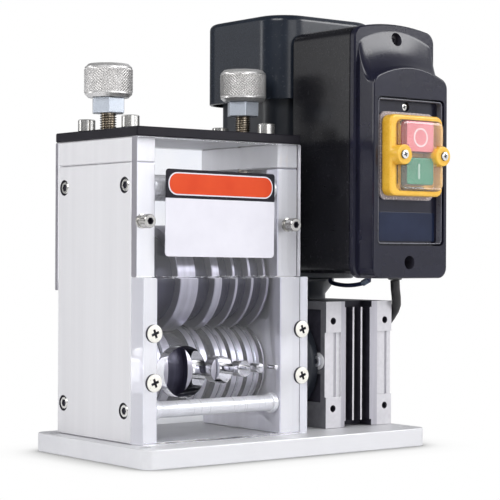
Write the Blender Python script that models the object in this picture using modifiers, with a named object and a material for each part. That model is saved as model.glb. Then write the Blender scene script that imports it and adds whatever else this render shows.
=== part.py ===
# Bench wire cutting and stripping machine, in metres, +Z up.
# The origin is the centre of the base plate's underside. X runs along the front, from the
# stripping head on the left to the drive on the right, and Y runs to the back.
# Units: every size below is written in millimetres times MM.

from math import atan2, cos, pi, radians, sin, sqrt, tan

import bmesh
import bpy
from mathutils import Matrix, Vector

MM = 0.001

# Clearances
SEAT_GAP = 0.3 * MM
FIT_GAP = 0.3 * MM
CUT_EXTRA = 2 * MM

# Roundness: how many sides the turned pieces have
LARGE_STEPS = 18
MEDIUM_STEPS = 16
SMALL_STEPS = 10
CORNER_STEPS = 3
COARSE_HOLE_RADIUS = 8 * MM

# Base plate
BASE_LENGTH = 265 * MM
BASE_DEPTH = 150 * MM
BASE_THICKNESS = 14 * MM
BASE_CORNER_RADIUS = 8 * MM
BASE_EDGE_BEVEL = 1 * MM
BASE_HOLE_RADIUS = 4.5 * MM
BASE_HOLE_INSET_X = 9 * MM
BASE_HOLE_INSET_Y = 16 * MM

# Stripping head: two side plates round the rollers
HEAD_CENTER_X = -47.5 * MM
ROLLER_AXIS_Y = 10 * MM
PLATE_SPACING = 112 * MM
PLATE_THICKNESS = 19 * MM
PLATE_DEPTH = 97 * MM
PLATE_HEIGHT = 199.2 * MM
PLATE_BEVEL = 0.8 * MM
CAP_BAR_HEIGHT = 17.7 * MM
TOP_PLATE_THICKNESS = 7 * MM
TOP_PLATE_BEVEL = 0.8 * MM

# Pockets milled into the inner faces of the side plates
POCKET_DEPTH = 13 * MM
POCKET_WIDTH = 70 * MM
POCKET_FLOOR_Z = 99.3 * MM
POCKET_CORNER_RADIUS = 5 * MM

# Tie rods
UPPER_ROD_RADIUS = 8 * MM
LOWER_ROD_RADIUS = 6 * MM
ROD_COLLAR_STEP = 1.5 * MM
ROD_COLLAR_LENGTH = 4 * MM
UPPER_ROD_Z = 197.5 * MM
LOWER_ROD_Z = 37.2 * MM
ROD_EDGE_GAP = 0.4 * MM

# Rollers, shafts and bearings
LOWER_AXIS_Z = 63.5 * MM
AXIS_DISTANCE = 67 * MM
UPPER_RIDGE_RADIUS = 39.4 * MM
UPPER_GROOVE_RADIUS = 32.6 * MM
LOWER_LAND_RADIUS = 32 * MM
LOWER_SLOT_RADIUS = 26.4 * MM
ROLLER_END_GAP = 2 * MM
ROLLER_EDGE = 0.6 * MM
RIDGE_SIDE_GAP = 0.8 * MM
SHAFT_RADIUS = 12.2 * MM
BEARING_OUTER_RADIUS = 23.5 * MM
BEARING_WIDTH = 12 * MM
BEARING_RACE = 3.4 * MM
BEARING_SEAL_STEP = 0.8 * MM
BLOCK_HEIGHT = 61.8 * MM
BLOCK_BEVEL = 1 * MM
BLADE_RADIUS = 34 * MM
BLADE_SEAT_RADIUS = 28 * MM
BLADE_THICKNESS = 1.6 * MM
BLADE_EDGE = 2.5 * MM

# Wire channels from left to right: groove width, the wire's place from the groove's left edge,
# guide hole radius, and the width of the ridge that ends the groove
CHANNELS = (
    (24.5 * MM, 15 * MM, 18.5 * MM, 16 * MM),
    (14.8 * MM, 7.5 * MM, 10 * MM, 6.8 * MM),
    (12.4 * MM, 6.4 * MM, 6 * MM, 2.2 * MM),
    (12.6 * MM, 6.3 * MM, 3.5 * MM, 2.2 * MM),
    (12.4 * MM, 7 * MM, 1.6 * MM, 2.2 * MM),
)
END_LAND = 1.9 * MM

# Clear covers
GUIDE_BLOCK_THICKNESS = 15.9 * MM
GUIDE_BLOCK_HEIGHT = 117.7 * MM
GUIDE_HOLE_Z = 65 * MM
COVER_THICKNESS = 6.9 * MM
REAR_COVER_THICKNESS = 4 * MM
REAR_COVER_BOTTOM_Z = 121 * MM
COVER_BEVEL = 1 * MM

# Adjusters and top screws
ADJUSTER_SCREW_RADIUS = 6 * MM
KNOB_RADIUS = 18 * MM
KNOB_HEIGHT = 24.4 * MM
KNOB_CHAMFER = 2.6 * MM
KNOB_BORE_DEPTH = 16 * MM
LOCK_NUT_FLATS = 22.5 * MM
LOCK_NUT_HEIGHT = 11.2 * MM
LOCK_NUT_BEVEL = 0.8 * MM
LEFT_KNOB_Z = 262.8 * MM
RIGHT_KNOB_LIFT = 4.2 * MM
CAP_SCREW_RADIUS = 4 * MM
CAP_HEAD_RADIUS = 6.5 * MM
CAP_HEAD_HEIGHT = 9.2 * MM
CAP_SCREW_LENGTH = 20 * MM
CAP_SOCKET_RADIUS = 3.4 * MM
CAP_SOCKET_DEPTH = 4 * MM
CAP_SCREW_SPACING = 58 * MM

# Worm gearbox
FAN_COVER_SIDE_GAP = 6.8 * MM
GEARBOX_WIDTH = 68.6 * MM
GEARBOX_DEPTH = 112 * MM
GEARBOX_HEIGHT = 98 * MM
WORM_DISTANCE = 40 * MM
PAD_WIDTH = 15.4 * MM
PAD_HEIGHT = 24 * MM
PAD_STEP = 1.5 * MM
PAD_HOLE_RADIUS = 2.5 * MM
PAD_HOLE_STEPS = 12
PAD_HOLE_DEPTH = 9 * MM
PAD_HOLE_INSET = 7.3 * MM
PAD_HOLE_HALF_SPACING = 33.9 * MM
STRIP_GROOVE_WIDTH = 2 * MM
STRIP_GROOVE_DEPTH = 1.5 * MM
STRIP_GROOVE_INSET = 10 * MM
FLANK_RUN = 6.4 * MM
FLANK_DEPTH = 4.5 * MM
FIN_COUNT = 2
FIN_THICKNESS = 1.6 * MM
FIN_FLOOR_CROWN = 1 * MM
FIN_SETBACK = 2.5 * MM
FIN_GAP_DEPTH = 12 * MM
WHEEL_CAVITY_RADIUS = 31.5 * MM
WORM_BORE_RADIUS = 15 * MM
OUTPUT_FLANGE_RADIUS = 37 * MM
OUTPUT_FLANGE_THICKNESS = 9 * MM
OUTPUT_FLANGE_CHAMFER = 2 * MM
OUTPUT_HUB_RADIUS = 22 * MM
OUTPUT_HUB_LENGTH = 5 * MM
OUTPUT_HUB_TAPER = 1 * MM
SIDE_COVER_THICKNESS = 3 * MM
SIDE_COVER_RADIUS = 36 * MM
SIDE_COVER_CHAMFER = 1 * MM
COVER_SPIGOT_LENGTH = 7 * MM
COUPLING_RADIUS = 17 * MM
COUPLING_LENGTH = 17 * MM
COUPLING_CHAMFER = 1 * MM

# Worm gear
WHEEL_TEETH = 30
WHEEL_PITCH_RADIUS = 28 * MM
WHEEL_WIDTH = 14 * MM
WHEEL_HUB_RADIUS = 19 * MM
WHEEL_HUB_LENGTH = 26 * MM
TOOTH_SLACK = 0.5 * MM
WORM_ROOT_GAP = 0.6 * MM
WORM_LENGTH = 34 * MM
WORM_END_ROOM = 4 * MM
ROTOR_SHAFT_TAIL = 3 * MM
WORM_SIDES = 12
THREAD_FULLNESS = 1.35
THREAD_STEEPNESS = 5.2
WORM_ROWS_PER_TURN = 6

# Motor and fan
ADAPTER_BOTTOM_RADIUS = 31 * MM
ADAPTER_TOP_RADIUS = 38 * MM
ADAPTER_HEIGHT = 16.4 * MM
ADAPTER_FOOT_HEIGHT = 4 * MM
ADAPTER_RIM_HEIGHT = 3 * MM
ADAPTER_SPIGOT_LENGTH = 6 * MM
FAN_COVER_STEP = 8.5 * MM
MOTOR_CORNER_RADIUS = 24 * MM
MOTOR_HEIGHT = 148 * MM
MOTOR_EDGE_BEVEL = 2 * MM
STATOR_DEPTH = 18 * MM
ROTOR_AIR_GAP = 1 * MM
ROTOR_LENGTH = 80 * MM
ROTOR_SHAFT_RADIUS = 6 * MM
MOTOR_LUG_WIDTH = 14 * MM
MOTOR_LUG_HEIGHT = 5 * MM
MOTOR_LUG_PROUD = 1 * MM
MOTOR_END_WALL = 12 * MM
FAN_COVER_WIDTH = 108 * MM
FAN_COVER_CORNER_RADIUS = 26 * MM
FAN_COVER_HEIGHT = 66.5 * MM
FAN_COVER_WALL = 2.6 * MM
FAN_COVER_TOP_BEVEL = 5 * MM
FAN_COVER_ROOF = 3.6 * MM
FAN_COVER_OVERLAP = 6 * MM
FAN_TIP_GAP = 9.4 * MM
FAN_HUB_RADIUS = 14 * MM
FAN_HEIGHT = 16 * MM
FAN_BLADES = 7
FAN_BLADE_THICKNESS = 2 * MM
FAN_BLADE_INSET = 1 * MM
FAN_BLADE_ROOT = 3 * MM
FAN_LIFT = 4 * MM
VENT_SLOTS = 7
VENT_SLOT_WIDTH = 3 * MM
VENT_INSET = 4 * MM
VENT_END_INSET = 3.8 * MM

# Switch box, lid and neck
BOX_WIDTH = 84 * MM
BOX_DEPTH = 68 * MM
BOX_BOTTOM_Z = 134 * MM
BOX_SIDE_TOP_Z = 320 * MM
BOX_ARCH_RISE = 5 * MM
BOX_CORNER_RADIUS = 9 * MM
BOX_WALL = 3.2 * MM
BOX_COVER_GAP = 1 * MM
BOX_BACK_BEVEL = 2.5 * MM
NECK_WIDTH = 60 * MM
NECK_BOTTOM_Z = 150 * MM
NECK_TOP_Z = 256 * MM
LID_FLANGE_WIDTH = 83 * MM
LID_FLANGE_THICKNESS = 5 * MM
LID_PANEL_WIDTH = 76 * MM
LID_PANEL_HEIGHT = 18.4 * MM
LID_PANEL_BOTTOM_Z = 131 * MM
LID_PANEL_SIDE_TOP_Z = 281.5 * MM
LID_PANEL_ARCH_RISE = 9.5 * MM
LID_COVE_RISE = 15 * MM
LID_CORNER_RADIUS = 8 * MM
LID_FRONT_ROUND = 1.2 * MM
LID_FLANGE_BEVEL = 1.2 * MM
LID_COVE_STEPS = (-0.12, 0.0, 0.15, 0.4, 0.7, 1.0)
LID_FLOOR = 3 * MM
RECESS_WIDTH = 69 * MM
RECESS_BOTTOM_Z = 155.7 * MM
RECESS_TOP_Z = 267.5 * MM
RECESS_DEPTH = 6.5 * MM
RECESS_CORNER_RADIUS = 4 * MM
LID_HOLE_RADIUS = 5.2 * MM
LID_TOP_HOLE_Z = 313.5 * MM
LID_LOW_HOLE_Z = 143 * MM

# Switch
SWITCH_CENTER_Z = 223.5 * MM
GASKET_WIDTH = 56 * MM
GASKET_HEIGHT = 68 * MM
GASKET_THICKNESS = 2.3 * MM
SWITCH_WIDTH = 53 * MM
SWITCH_HEIGHT = 62 * MM
SWITCH_DEPTH = 11.2 * MM
SWITCH_WEB = 3.2 * MM
SWITCH_WINDOW_WIDTH = 47 * MM
SWITCH_WINDOW_HEIGHT = 55 * MM
SWITCH_CORNER_RADIUS = 5 * MM
SWITCH_EDGE_BEVEL = 1.2 * MM
CONTACT_WINDOW_WIDTH = 32 * MM
LUG_WIDTH = 11 * MM
LUG_HEIGHT = 15 * MM
LUG_RISE = 8 * MM
LUG_BEVEL = 1.5 * MM
BUTTON_WIDTH = 28 * MM
STOP_HEIGHT = 23 * MM
START_HEIGHT = 20.5 * MM
STOP_BOTTOM_Z = 226.2 * MM
START_BOTTOM_Z = 201.5 * MM
BUTTON_PROUD = 4.6 * MM
BUTTON_REACH = 3 * MM
BUTTON_CORNER_RADIUS = 2 * MM
BUTTON_EDGE_BEVEL = 0.8 * MM
BOOT_GAP = 1 * MM
BOOT_WALL = 0.9 * MM
BOOT_EDGE_BEVEL = 0.6 * MM

# Cords and plug
CORD_RADIUS = 3.75 * MM
LEAD_RADIUS = 1.7 * MM
GLAND_RADIUS = 6.5 * MM
GLAND_TIP_RADIUS = 5 * MM
GLAND_LENGTH = 20 * MM
GLAND_PROUD = 4.5 * MM
GLAND_OFFSET_X = 33.2 * MM
GLAND_SETBACK = 29.5 * MM
COIL_CENTER_X = 127 * MM
COIL_CENTER_Y = 130 * MM
COIL_RADIUS = 40.5 * MM
COIL_TURNS = 5
PLUG_SETBACK = 23 * MM
PLUG_LENGTH = 34 * MM
PLUG_WIDTH = 25 * MM
PLUG_HEIGHT = 22 * MM
PLUG_CORNER_RADIUS = 3 * MM
PLUG_SHOULDER_RADIUS = 6 * MM
PLUG_SHOULDER_LENGTH = 12 * MM
PLUG_TAIL_WIDTH = 12.5 * MM
PLUG_EDGE_BEVEL = 2 * MM
PLUG_RELIEF_LENGTH = 16 * MM
PLUG_RELIEF_TIP_WALL = 0.8 * MM
PLUG_RELIEF_ROOT_WALL = 3 * MM
PLUG_BLADE_LENGTH = 17 * MM
PLUG_BLADE_SPACING = 12.7 * MM
PLUG_BLADE_WIDTH = 6.3 * MM
PLUG_BLADE_THICKNESS = 1.5 * MM
PLUG_BLADE_LIFT = 1 * MM
PLUG_GROUND_RADIUS = 2.4 * MM
PLUG_GROUND_DROP = 6 * MM

# The points that the hand-laid cords follow, in the part's frame
CORD_ROUTE = (
    (127.0, -43.5, 128.6),
    (127.2, -43.5, 123.8),
    (128.2, -43.1, 118.8),
    (129.9, -42.1, 114.0),
    (132.0, -40.0, 109.3),
    (133.6, -36.2, 104.6),
    (135.0, -30.4, 99.4),
    (136.3, -21.4, 91.6),
    (138.2, -8.0, 79.0),
    (139.8, 7.0, 62.0),
    (141.4, 21.0, 44.0),
    (143.6, 36.0, 26.0),
    (147.8, 53.0, 12.0),
    (154.0, 70.5, 5.2),
    (161.4, 87.0, 3.9),
    (165.9, 97.6, 3.8),
    (167.4, 104.6, 3.8),
)
LEAD_ROUTE = (
    (107.0, -36.0, 133.4),
    (107.0, -35.0, 129.0),
    (107.0, -29.0, 125.2),
    (106.8, -19.0, 123.2),
    (106.5, -8.0, 122.6),
    (106.3, 3.0, 123.6),
    (106.2, 9.6, 125.4),
    (106.2, 11.2, 128.3),
)

# Derived places
BASE_TOP_Z = BASE_THICKNESS
HEAD_FLOOR_Z = BASE_TOP_Z + SEAT_GAP
PLATE_TOP_Z = HEAD_FLOOR_Z + PLATE_HEIGHT
CAP_BAR_BOTTOM_Z = PLATE_TOP_Z + SEAT_GAP
CAP_BAR_TOP_Z = CAP_BAR_BOTTOM_Z + CAP_BAR_HEIGHT
TOP_PLATE_BOTTOM_Z = CAP_BAR_TOP_Z + SEAT_GAP
TOP_PLATE_TOP_Z = TOP_PLATE_BOTTOM_Z + TOP_PLATE_THICKNESS
PLATE_FRONT_Y = ROLLER_AXIS_Y - PLATE_DEPTH / 2
PLATE_BACK_Y = ROLLER_AXIS_Y + PLATE_DEPTH / 2
HEAD_WIDTH = PLATE_SPACING + 2 * PLATE_THICKNESS
ROLLER_LENGTH = PLATE_SPACING - 2 * ROLLER_END_GAP
HEAD_LEFT_X = HEAD_CENTER_X - HEAD_WIDTH / 2
HEAD_RIGHT_X = HEAD_CENTER_X + HEAD_WIDTH / 2
UPPER_AXIS_Z = LOWER_AXIS_Z + AXIS_DISTANCE
BLOCK_THICKNESS = POCKET_DEPTH - 2 * SEAT_GAP
BLOCK_BOTTOM_Z = UPPER_AXIS_Z - BLOCK_HEIGHT / 2
BLOCK_TOP_Z = UPPER_AXIS_Z + BLOCK_HEIGHT / 2
COVER_BACK_Y = PLATE_FRONT_Y - SEAT_GAP
GUIDE_BLOCK_FRONT_Y = COVER_BACK_Y - GUIDE_BLOCK_THICKNESS
COVER_FRONT_Y = COVER_BACK_Y - COVER_THICKNESS
GUIDE_BLOCK_TOP_Z = HEAD_FLOOR_Z + GUIDE_BLOCK_HEIGHT
REAR_COVER_FRONT_Y = PLATE_BACK_Y + SEAT_GAP
REAR_COVER_BACK_Y = REAR_COVER_FRONT_Y + REAR_COVER_THICKNESS
RIGHT_KNOB_X = HEAD_CENTER_X + (PLATE_SPACING + POCKET_DEPTH) / 2
DRIVE_X = RIGHT_KNOB_X + KNOB_RADIUS + FAN_COVER_SIDE_GAP + FAN_COVER_WIDTH / 2
GEARBOX_LEFT_X = DRIVE_X - GEARBOX_WIDTH / 2
GEARBOX_RIGHT_X = DRIVE_X + GEARBOX_WIDTH / 2
GEARBOX_FRONT_Y = PLATE_FRONT_Y
GEARBOX_BACK_Y = GEARBOX_FRONT_Y + GEARBOX_DEPTH
GEARBOX_TOP_Z = HEAD_FLOOR_Z + GEARBOX_HEIGHT
WORM_Y = ROLLER_AXIS_Y + WORM_DISTANCE
ADAPTER_BOTTOM_Z = GEARBOX_TOP_Z + SEAT_GAP
ADAPTER_TOP_Z = ADAPTER_BOTTOM_Z + ADAPTER_HEIGHT
MOTOR_BOTTOM_Z = ADAPTER_TOP_Z + SEAT_GAP
MOTOR_TOP_Z = MOTOR_BOTTOM_Z + MOTOR_HEIGHT
MOTOR_WIDTH = FAN_COVER_WIDTH - 2 * FAN_COVER_STEP
STATOR_BORE_RADIUS = MOTOR_WIDTH / 2 - STATOR_DEPTH
ROTOR_RADIUS = STATOR_BORE_RADIUS - ROTOR_AIR_GAP
FAN_RADIUS = FAN_COVER_WIDTH / 2 - FAN_COVER_WALL - FAN_TIP_GAP
VENT_RADIUS = FAN_RADIUS - VENT_INSET
VENT_SPREAD = VENT_RADIUS - VENT_END_INSET
FAN_COVER_BOTTOM_Z = MOTOR_TOP_Z - FAN_COVER_OVERLAP
FAN_COVER_TOP_Z = FAN_COVER_BOTTOM_Z + FAN_COVER_HEIGHT
BOX_BACK_Y = WORM_Y - FAN_COVER_WIDTH / 2 - BOX_COVER_GAP
BOX_FRONT_Y = BOX_BACK_Y - BOX_DEPTH
GLAND_X = DRIVE_X + GLAND_OFFSET_X
GLAND_Y = BOX_FRONT_Y + GLAND_SETBACK
LID_BACK_Y = BOX_FRONT_Y - SEAT_GAP
LID_FLANGE_FRONT_Y = LID_BACK_Y - LID_FLANGE_THICKNESS
LID_FRONT_Y = LID_FLANGE_FRONT_Y - LID_PANEL_HEIGHT
RECESS_FLOOR_Y = LID_FRONT_Y + RECESS_DEPTH
GASKET_FRONT_Y = RECESS_FLOOR_Y - SEAT_GAP - GASKET_THICKNESS
SWITCH_BACK_Y = GASKET_FRONT_Y - SEAT_GAP
SWITCH_FRONT_Y = SWITCH_BACK_Y - SWITCH_DEPTH
BUTTON_FRONT_Y = SWITCH_FRONT_Y - BUTTON_PROUD
BUTTON_BACK_Y = SWITCH_BACK_Y + BUTTON_REACH
COIL_HEIGHT = 2 * CORD_RADIUS * COIL_TURNS
COIL_BOTTOM_Z = SEAT_GAP
COIL_TOP_Z = COIL_BOTTOM_Z + COIL_HEIGHT
WORM_PITCH = 2 * pi * WHEEL_PITCH_RADIUS / WHEEL_TEETH
TOOTH_ADDENDUM = WORM_PITCH / pi
WORM_PITCH_RADIUS = WORM_DISTANCE - WHEEL_PITCH_RADIUS

SIDES = {"left": -1, "right": 1}


def clear_scene():
    for obj in list(bpy.data.objects):
        bpy.data.objects.remove(obj, do_unlink=True)


def make_collection(name):
    collection = bpy.data.collections.new(name)
    bpy.context.scene.collection.children.link(collection)
    return collection


clear_scene()
PARTS = make_collection("wire_stripping_machine")
CUTTERS = make_collection("cutters")


def make_material(name, color, metallic, roughness, alpha=1.0):
    material = bpy.data.materials.new(name)
    material.use_nodes = True
    shader = material.node_tree.nodes["Principled BSDF"]
    shader.inputs["Base Color"].default_value = (*color, 1.0)
    shader.inputs["Metallic"].default_value = metallic
    shader.inputs["Roughness"].default_value = roughness
    shader.inputs["Alpha"].default_value = alpha
    return material


ALUMINIUM = make_material("satin_aluminium", (0.70, 0.70, 0.73), 1.0, 0.35)
BASE_FINISH = make_material("bright_aluminium", (0.80, 0.80, 0.82), 1.0, 0.3)
STEEL = make_material("ground_steel", (0.42, 0.43, 0.48), 1.0, 0.25)
BLADE_STEEL = make_material("blade_steel", (0.75, 0.76, 0.78), 1.0, 0.15)
CHROME = make_material("bright_nickel", (0.80, 0.79, 0.77), 1.0, 0.18)
BLACK_PAINT = make_material("black_anodised", (0.03, 0.03, 0.035), 0.2, 0.4)
BLACK_PLASTIC = make_material("black_gloss_plastic", (0.012, 0.012, 0.016), 0.0, 0.15)
BLACK_RUBBER = make_material("black_rubber", (0.02, 0.02, 0.022), 0.0, 0.55)
CLEAR_ACRYLIC = make_material("clear_acrylic", (0.92, 0.94, 0.97), 0.0, 0.03, 0.25)
CLEAR_SILICONE = make_material("clear_silicone", (0.90, 0.88, 0.88), 0.0, 0.25, 0.4)
YELLOW_PLASTIC = make_material("yellow_plastic", (0.80, 0.45, 0.03), 0.0, 0.35)
RED_PLASTIC = make_material("red_plastic", (0.75, 0.06, 0.05), 0.0, 0.3)
GREEN_PLASTIC = make_material("green_plastic", (0.04, 0.35, 0.20), 0.0, 0.3)
CAST_ALUMINIUM = make_material("cast_aluminium", (0.72, 0.72, 0.74), 1.0, 0.45)
BRONZE = make_material("wheel_bronze", (0.62, 0.42, 0.16), 1.0, 0.35)
BLUE_LEAD = make_material("blue_lead", (0.02, 0.03, 0.12), 0.0, 0.4)


def add_object(name, mesh, material=None, origin=(0, 0, 0)):
    """Put a mesh in the scene, as a part with a material or as a cutter without one."""
    obj = bpy.data.objects.new(name, mesh)
    obj.location = origin
    if material is None:
        CUTTERS.objects.link(obj)
        obj.display_type = "WIRE"
        obj.hide_render = True
    else:
        PARTS.objects.link(obj)
        mesh.materials.append(material)
    return obj


def boolean(target, tool, operation="DIFFERENCE"):
    modifier = target.modifiers.new(tool.name, "BOOLEAN")
    modifier.operation = operation
    modifier.solver = "EXACT"
    modifier.object = tool


def bevel(obj, width, segments=1, angle=40):
    modifier = obj.modifiers.new("edges", "BEVEL")
    modifier.width = width
    modifier.segments = segments
    modifier.limit_method = "ANGLE"
    modifier.angle_limit = radians(angle)
    modifier.harden_normals = False


def smooth(obj, angle=35):
    obj.data.shade_smooth()
    obj.data.set_sharp_from_angle(angle=radians(angle))


def block(name, low, high, material=None, origin=(0, 0, 0)):
    """A box between two corners given in the part's frame, with its origin at a chosen point."""
    low = Vector(low)
    high = Vector(high)
    size = Matrix.Diagonal((*(high - low), 1.0))
    place = Matrix.Translation((low + high) / 2 - Vector(origin))
    mesh = bpy.data.meshes.new(name)
    shape = bmesh.new()
    bmesh.ops.create_cube(shape, size=1.0, matrix=place @ size)
    shape.to_mesh(mesh)
    shape.free()
    return add_object(name, mesh, material, origin)


def axis_rotation(axis):
    return Vector(axis).to_track_quat("Z", "Y").to_matrix().to_4x4()


def rod(name, start, end, radius, material=None, steps=MEDIUM_STEPS, origin=None):
    """A round bar between two points."""
    start = Vector(start)
    end = Vector(end)
    origin = Vector(start if origin is None else origin)
    turn = axis_rotation(end - start)
    place = Matrix.Translation((start + end) / 2 - origin) @ turn
    mesh = bpy.data.meshes.new(name)
    shape = bmesh.new()
    bmesh.ops.create_cone(
        shape, cap_ends=True, segments=steps, radius1=radius, radius2=radius,
        depth=(end - start).length, matrix=place,
    )
    shape.to_mesh(mesh)
    shape.free()
    obj = add_object(name, mesh, material, origin)
    smooth(obj)
    return obj


def turned(name, profile, location, axis, material=None, steps=LARGE_STEPS, closed=False):
    """Turn a profile of (radius, height) points about an axis through location.

    The profile runs down its outer side. A closed profile makes a ring."""
    mesh = bpy.data.meshes.new(name)
    points = [(radius, 0.0, height) for radius, height in profile]
    edges = [(i, i + 1) for i in range(len(points) - 1)]
    if closed:
        edges.append((len(points) - 1, 0))
    mesh.from_pydata(points, edges, [])
    obj = add_object(name, mesh, material, location)
    obj.rotation_euler = axis_rotation(axis).to_euler()
    screw = obj.modifiers.new("turn", "SCREW")
    screw.axis = "Z"
    screw.angle = 2 * pi
    screw.steps = steps
    screw.render_steps = steps
    screw.use_merge_vertices = True
    screw.merge_threshold = 0.00001
    screw.use_smooth_shade = False
    return obj


def ring_profile(inner, outer, low, high, edge=0.0):
    """A rectangular ring section with small chamfers on its outer corners."""
    return [
        (inner, high), (outer - edge, high), (outer, high - edge),
        (outer, low + edge), (outer - edge, low), (inner, low),
    ] if edge else [(inner, high), (outer, high), (outer, low), (inner, low)]


def rounded_outline(corners, steps=CORNER_STEPS):
    """Points of an outline from (x, y, radius) corners given anticlockwise."""
    points = []
    count = len(corners)
    for index, (x, y, radius) in enumerate(corners):
        here = Vector((x, y))
        if radius == 0:
            points.append(here)
            continue
        before = (Vector(corners[index - 1][:2]) - here).normalized()
        after = (Vector(corners[(index + 1) % count][:2]) - here).normalized()
        half = before.angle(after) / 2
        reach = radius / tan(half)
        center = here + (before + after).normalized() * (radius / sin(half))
        first = here + before * reach - center
        last = here + after * reach - center
        start = atan2(first.y, first.x)
        sweep = (atan2(last.y, last.x) - start) % (2 * pi)
        for step in range(steps + 1):
            turn = start + sweep * step / steps
            points.append(center + radius * Vector((cos(turn), sin(turn))))
    return points


def rectangle(width, height, radius, center=(0, 0)):
    x, y = center
    half_w = width / 2
    half_h = height / 2
    return rounded_outline([
        (x - half_w, y - half_h, radius), (x + half_w, y - half_h, radius),
        (x + half_w, y + half_h, radius), (x - half_w, y + half_h, radius),
    ])


def arched_corners(half_width, bottom, side_top, rise, radius, arch_parts=4):
    """Corners of an upright outline whose top edge is a shallow arch, centred on DRIVE_X."""
    corners = [
        (DRIVE_X - half_width, bottom, radius), (DRIVE_X + half_width, bottom, radius),
        (DRIVE_X + half_width, side_top, radius),
    ]
    for part in range(1, arch_parts):
        across = 1 - 2 * part / arch_parts
        height = side_top + rise * (1 - across * across)
        corners.append((DRIVE_X + half_width * across, height, 0))
    corners.append((DRIVE_X - half_width, side_top, radius))
    return corners


# Where an outline's two coordinates and its thickness lie, for each plane
PLANES = {
    "XY": Matrix(((1, 0, 0), (0, 1, 0), (0, 0, 1))).to_4x4(),
    "XZ": Matrix(((1, 0, 0), (0, 0, -1), (0, 1, 0))).to_4x4(),
    "YZ": Matrix(((0, 0, 1), (1, 0, 0), (0, 1, 0))).to_4x4(),
}


def slab(name, outline, low, high, plane, material=None, origin=(0, 0, 0)):
    """Give a flat outline a thickness that runs from low to high across its plane."""
    curve = bpy.data.curves.new(name, "CURVE")
    curve.dimensions = "2D"
    curve.fill_mode = "BOTH"
    curve.extrude = (high - low) / 2
    spline = curve.splines.new("POLY")
    spline.points.add(len(outline) - 1)
    for point, (x, y) in zip(spline.points, outline):
        point.co = (x, y, 0, 1)
    spline.use_cyclic_u = True
    guide = bpy.data.objects.new(name + "_outline", curve)
    CUTTERS.objects.link(guide)
    turn = PLANES[plane]
    middle = (low + high) / 2
    if plane == "XZ":
        middle = -middle
    guide.matrix_world = turn @ Matrix.Translation((0, 0, middle))
    bpy.context.view_layer.update()
    graph = bpy.context.evaluated_depsgraph_get()
    mesh = bpy.data.meshes.new_from_object(guide.evaluated_get(graph))
    mesh.transform(Matrix.Translation(-Vector(origin)) @ guide.matrix_world)
    bpy.data.objects.remove(guide, do_unlink=True)
    bpy.data.curves.remove(curve)
    shape = bmesh.new()
    shape.from_mesh(mesh)
    bmesh.ops.remove_doubles(shape, verts=shape.verts, dist=0.00001)
    bmesh.ops.recalc_face_normals(shape, faces=shape.faces)
    shape.to_mesh(mesh)
    shape.free()
    mesh.name = name
    mesh.materials.clear()
    return add_object(name, mesh, material, origin)


def loft(name, sections, material):
    """Skin a row of outlines with equal point counts. Each section is (points, y)."""
    shape = bmesh.new()
    rings = []
    for outline, y in sections:
        rings.append([shape.verts.new((x, y, z)) for x, z in outline])
    for first, second in zip(rings, rings[1:]):
        for i in range(len(first)):
            j = (i + 1) % len(first)
            shape.faces.new((first[i], first[j], second[j], second[i]))
    shape.faces.new(rings[0])
    shape.faces.new(reversed(rings[-1]))
    bmesh.ops.recalc_face_normals(shape, faces=shape.faces)
    mesh = bpy.data.meshes.new(name)
    shape.to_mesh(mesh)
    shape.free()
    return add_object(name, mesh, material)


def smooth_route(route, spacing):
    """Even points along a smooth curve through hand-laid points in millimetres."""
    knots = [Vector(point) * MM for point in route]
    padded = [2 * knots[0] - knots[1]] + knots + [2 * knots[-1] - knots[-2]]
    fine = []
    for k in range(1, len(padded) - 2):
        a, b, c, d = padded[k - 1:k + 3]
        for step in range(12):
            t = step / 12
            fine.append(0.5 * (
                2 * b + (c - a) * t + (2 * a - 5 * b + 4 * c - d) * t * t
                + (3 * b - a - 3 * c + d) * t ** 3
            ))
    fine.append(knots[-1])
    total = sum((q - p).length for p, q in zip(fine, fine[1:]))
    count = max(3, round(total / spacing))
    points = [fine[0]]
    travelled = 0.0
    for p, q in zip(fine, fine[1:]):
        length = (q - p).length
        while len(points) < count and travelled + length >= total * len(points) / count:
            part = (total * len(points) / count - travelled) / length
            points.append(p.lerp(q, part))
        travelled += length
    points.append(fine[-1])
    return points


def cord_tube(name, route, radius, spacing, material):
    """A free or held cord: a poly curve with a round section and filled caps."""
    points = smooth_route(route, spacing)
    curve = bpy.data.curves.new(name, "CURVE")
    curve.dimensions = "3D"
    curve.bevel_depth = radius
    curve.bevel_resolution = 2
    curve.use_fill_caps = True
    spline = curve.splines.new("POLY")
    spline.points.add(len(points) - 1)
    for point, place in zip(spline.points, points):
        point.co = (*place, 1)
    curve.materials.append(material)
    obj = bpy.data.objects.new(name, curve)
    PARTS.objects.link(obj)
    return obj


def cut_rod(target, name, start, end, radius, steps=MEDIUM_STEPS):
    boolean(target, rod(name, start, end, radius, steps=steps))


def bore_radius(radius, steps=MEDIUM_STEPS):
    """The corner radius of a faceted hole whose flats clear a round piece by FIT_GAP."""
    return (radius + FIT_GAP) / cos(pi / steps)


def base_plate():
    outline = rectangle(BASE_LENGTH, BASE_DEPTH, BASE_CORNER_RADIUS)
    plate = slab("base_plate", outline, 0.0, BASE_THICKNESS, "XY", BASE_FINISH)
    bevel(plate, BASE_EDGE_BEVEL, 1, 60)
    hole_x = BASE_LENGTH / 2 - BASE_HOLE_INSET_X
    hole_y = BASE_DEPTH / 2 - BASE_HOLE_INSET_Y
    for x in (-hole_x, hole_x):
        for y in (-hole_y, hole_y):
            cut_rod(plate, "base_hole", (x, y, -CUT_EXTRA), (x, y, BASE_TOP_Z + CUT_EXTRA),
                    BASE_HOLE_RADIUS)


def inner_face_x(side):
    return HEAD_CENTER_X + side * PLATE_SPACING / 2


def outer_face_x(side):
    return HEAD_CENTER_X + side * HEAD_WIDTH / 2


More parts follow.
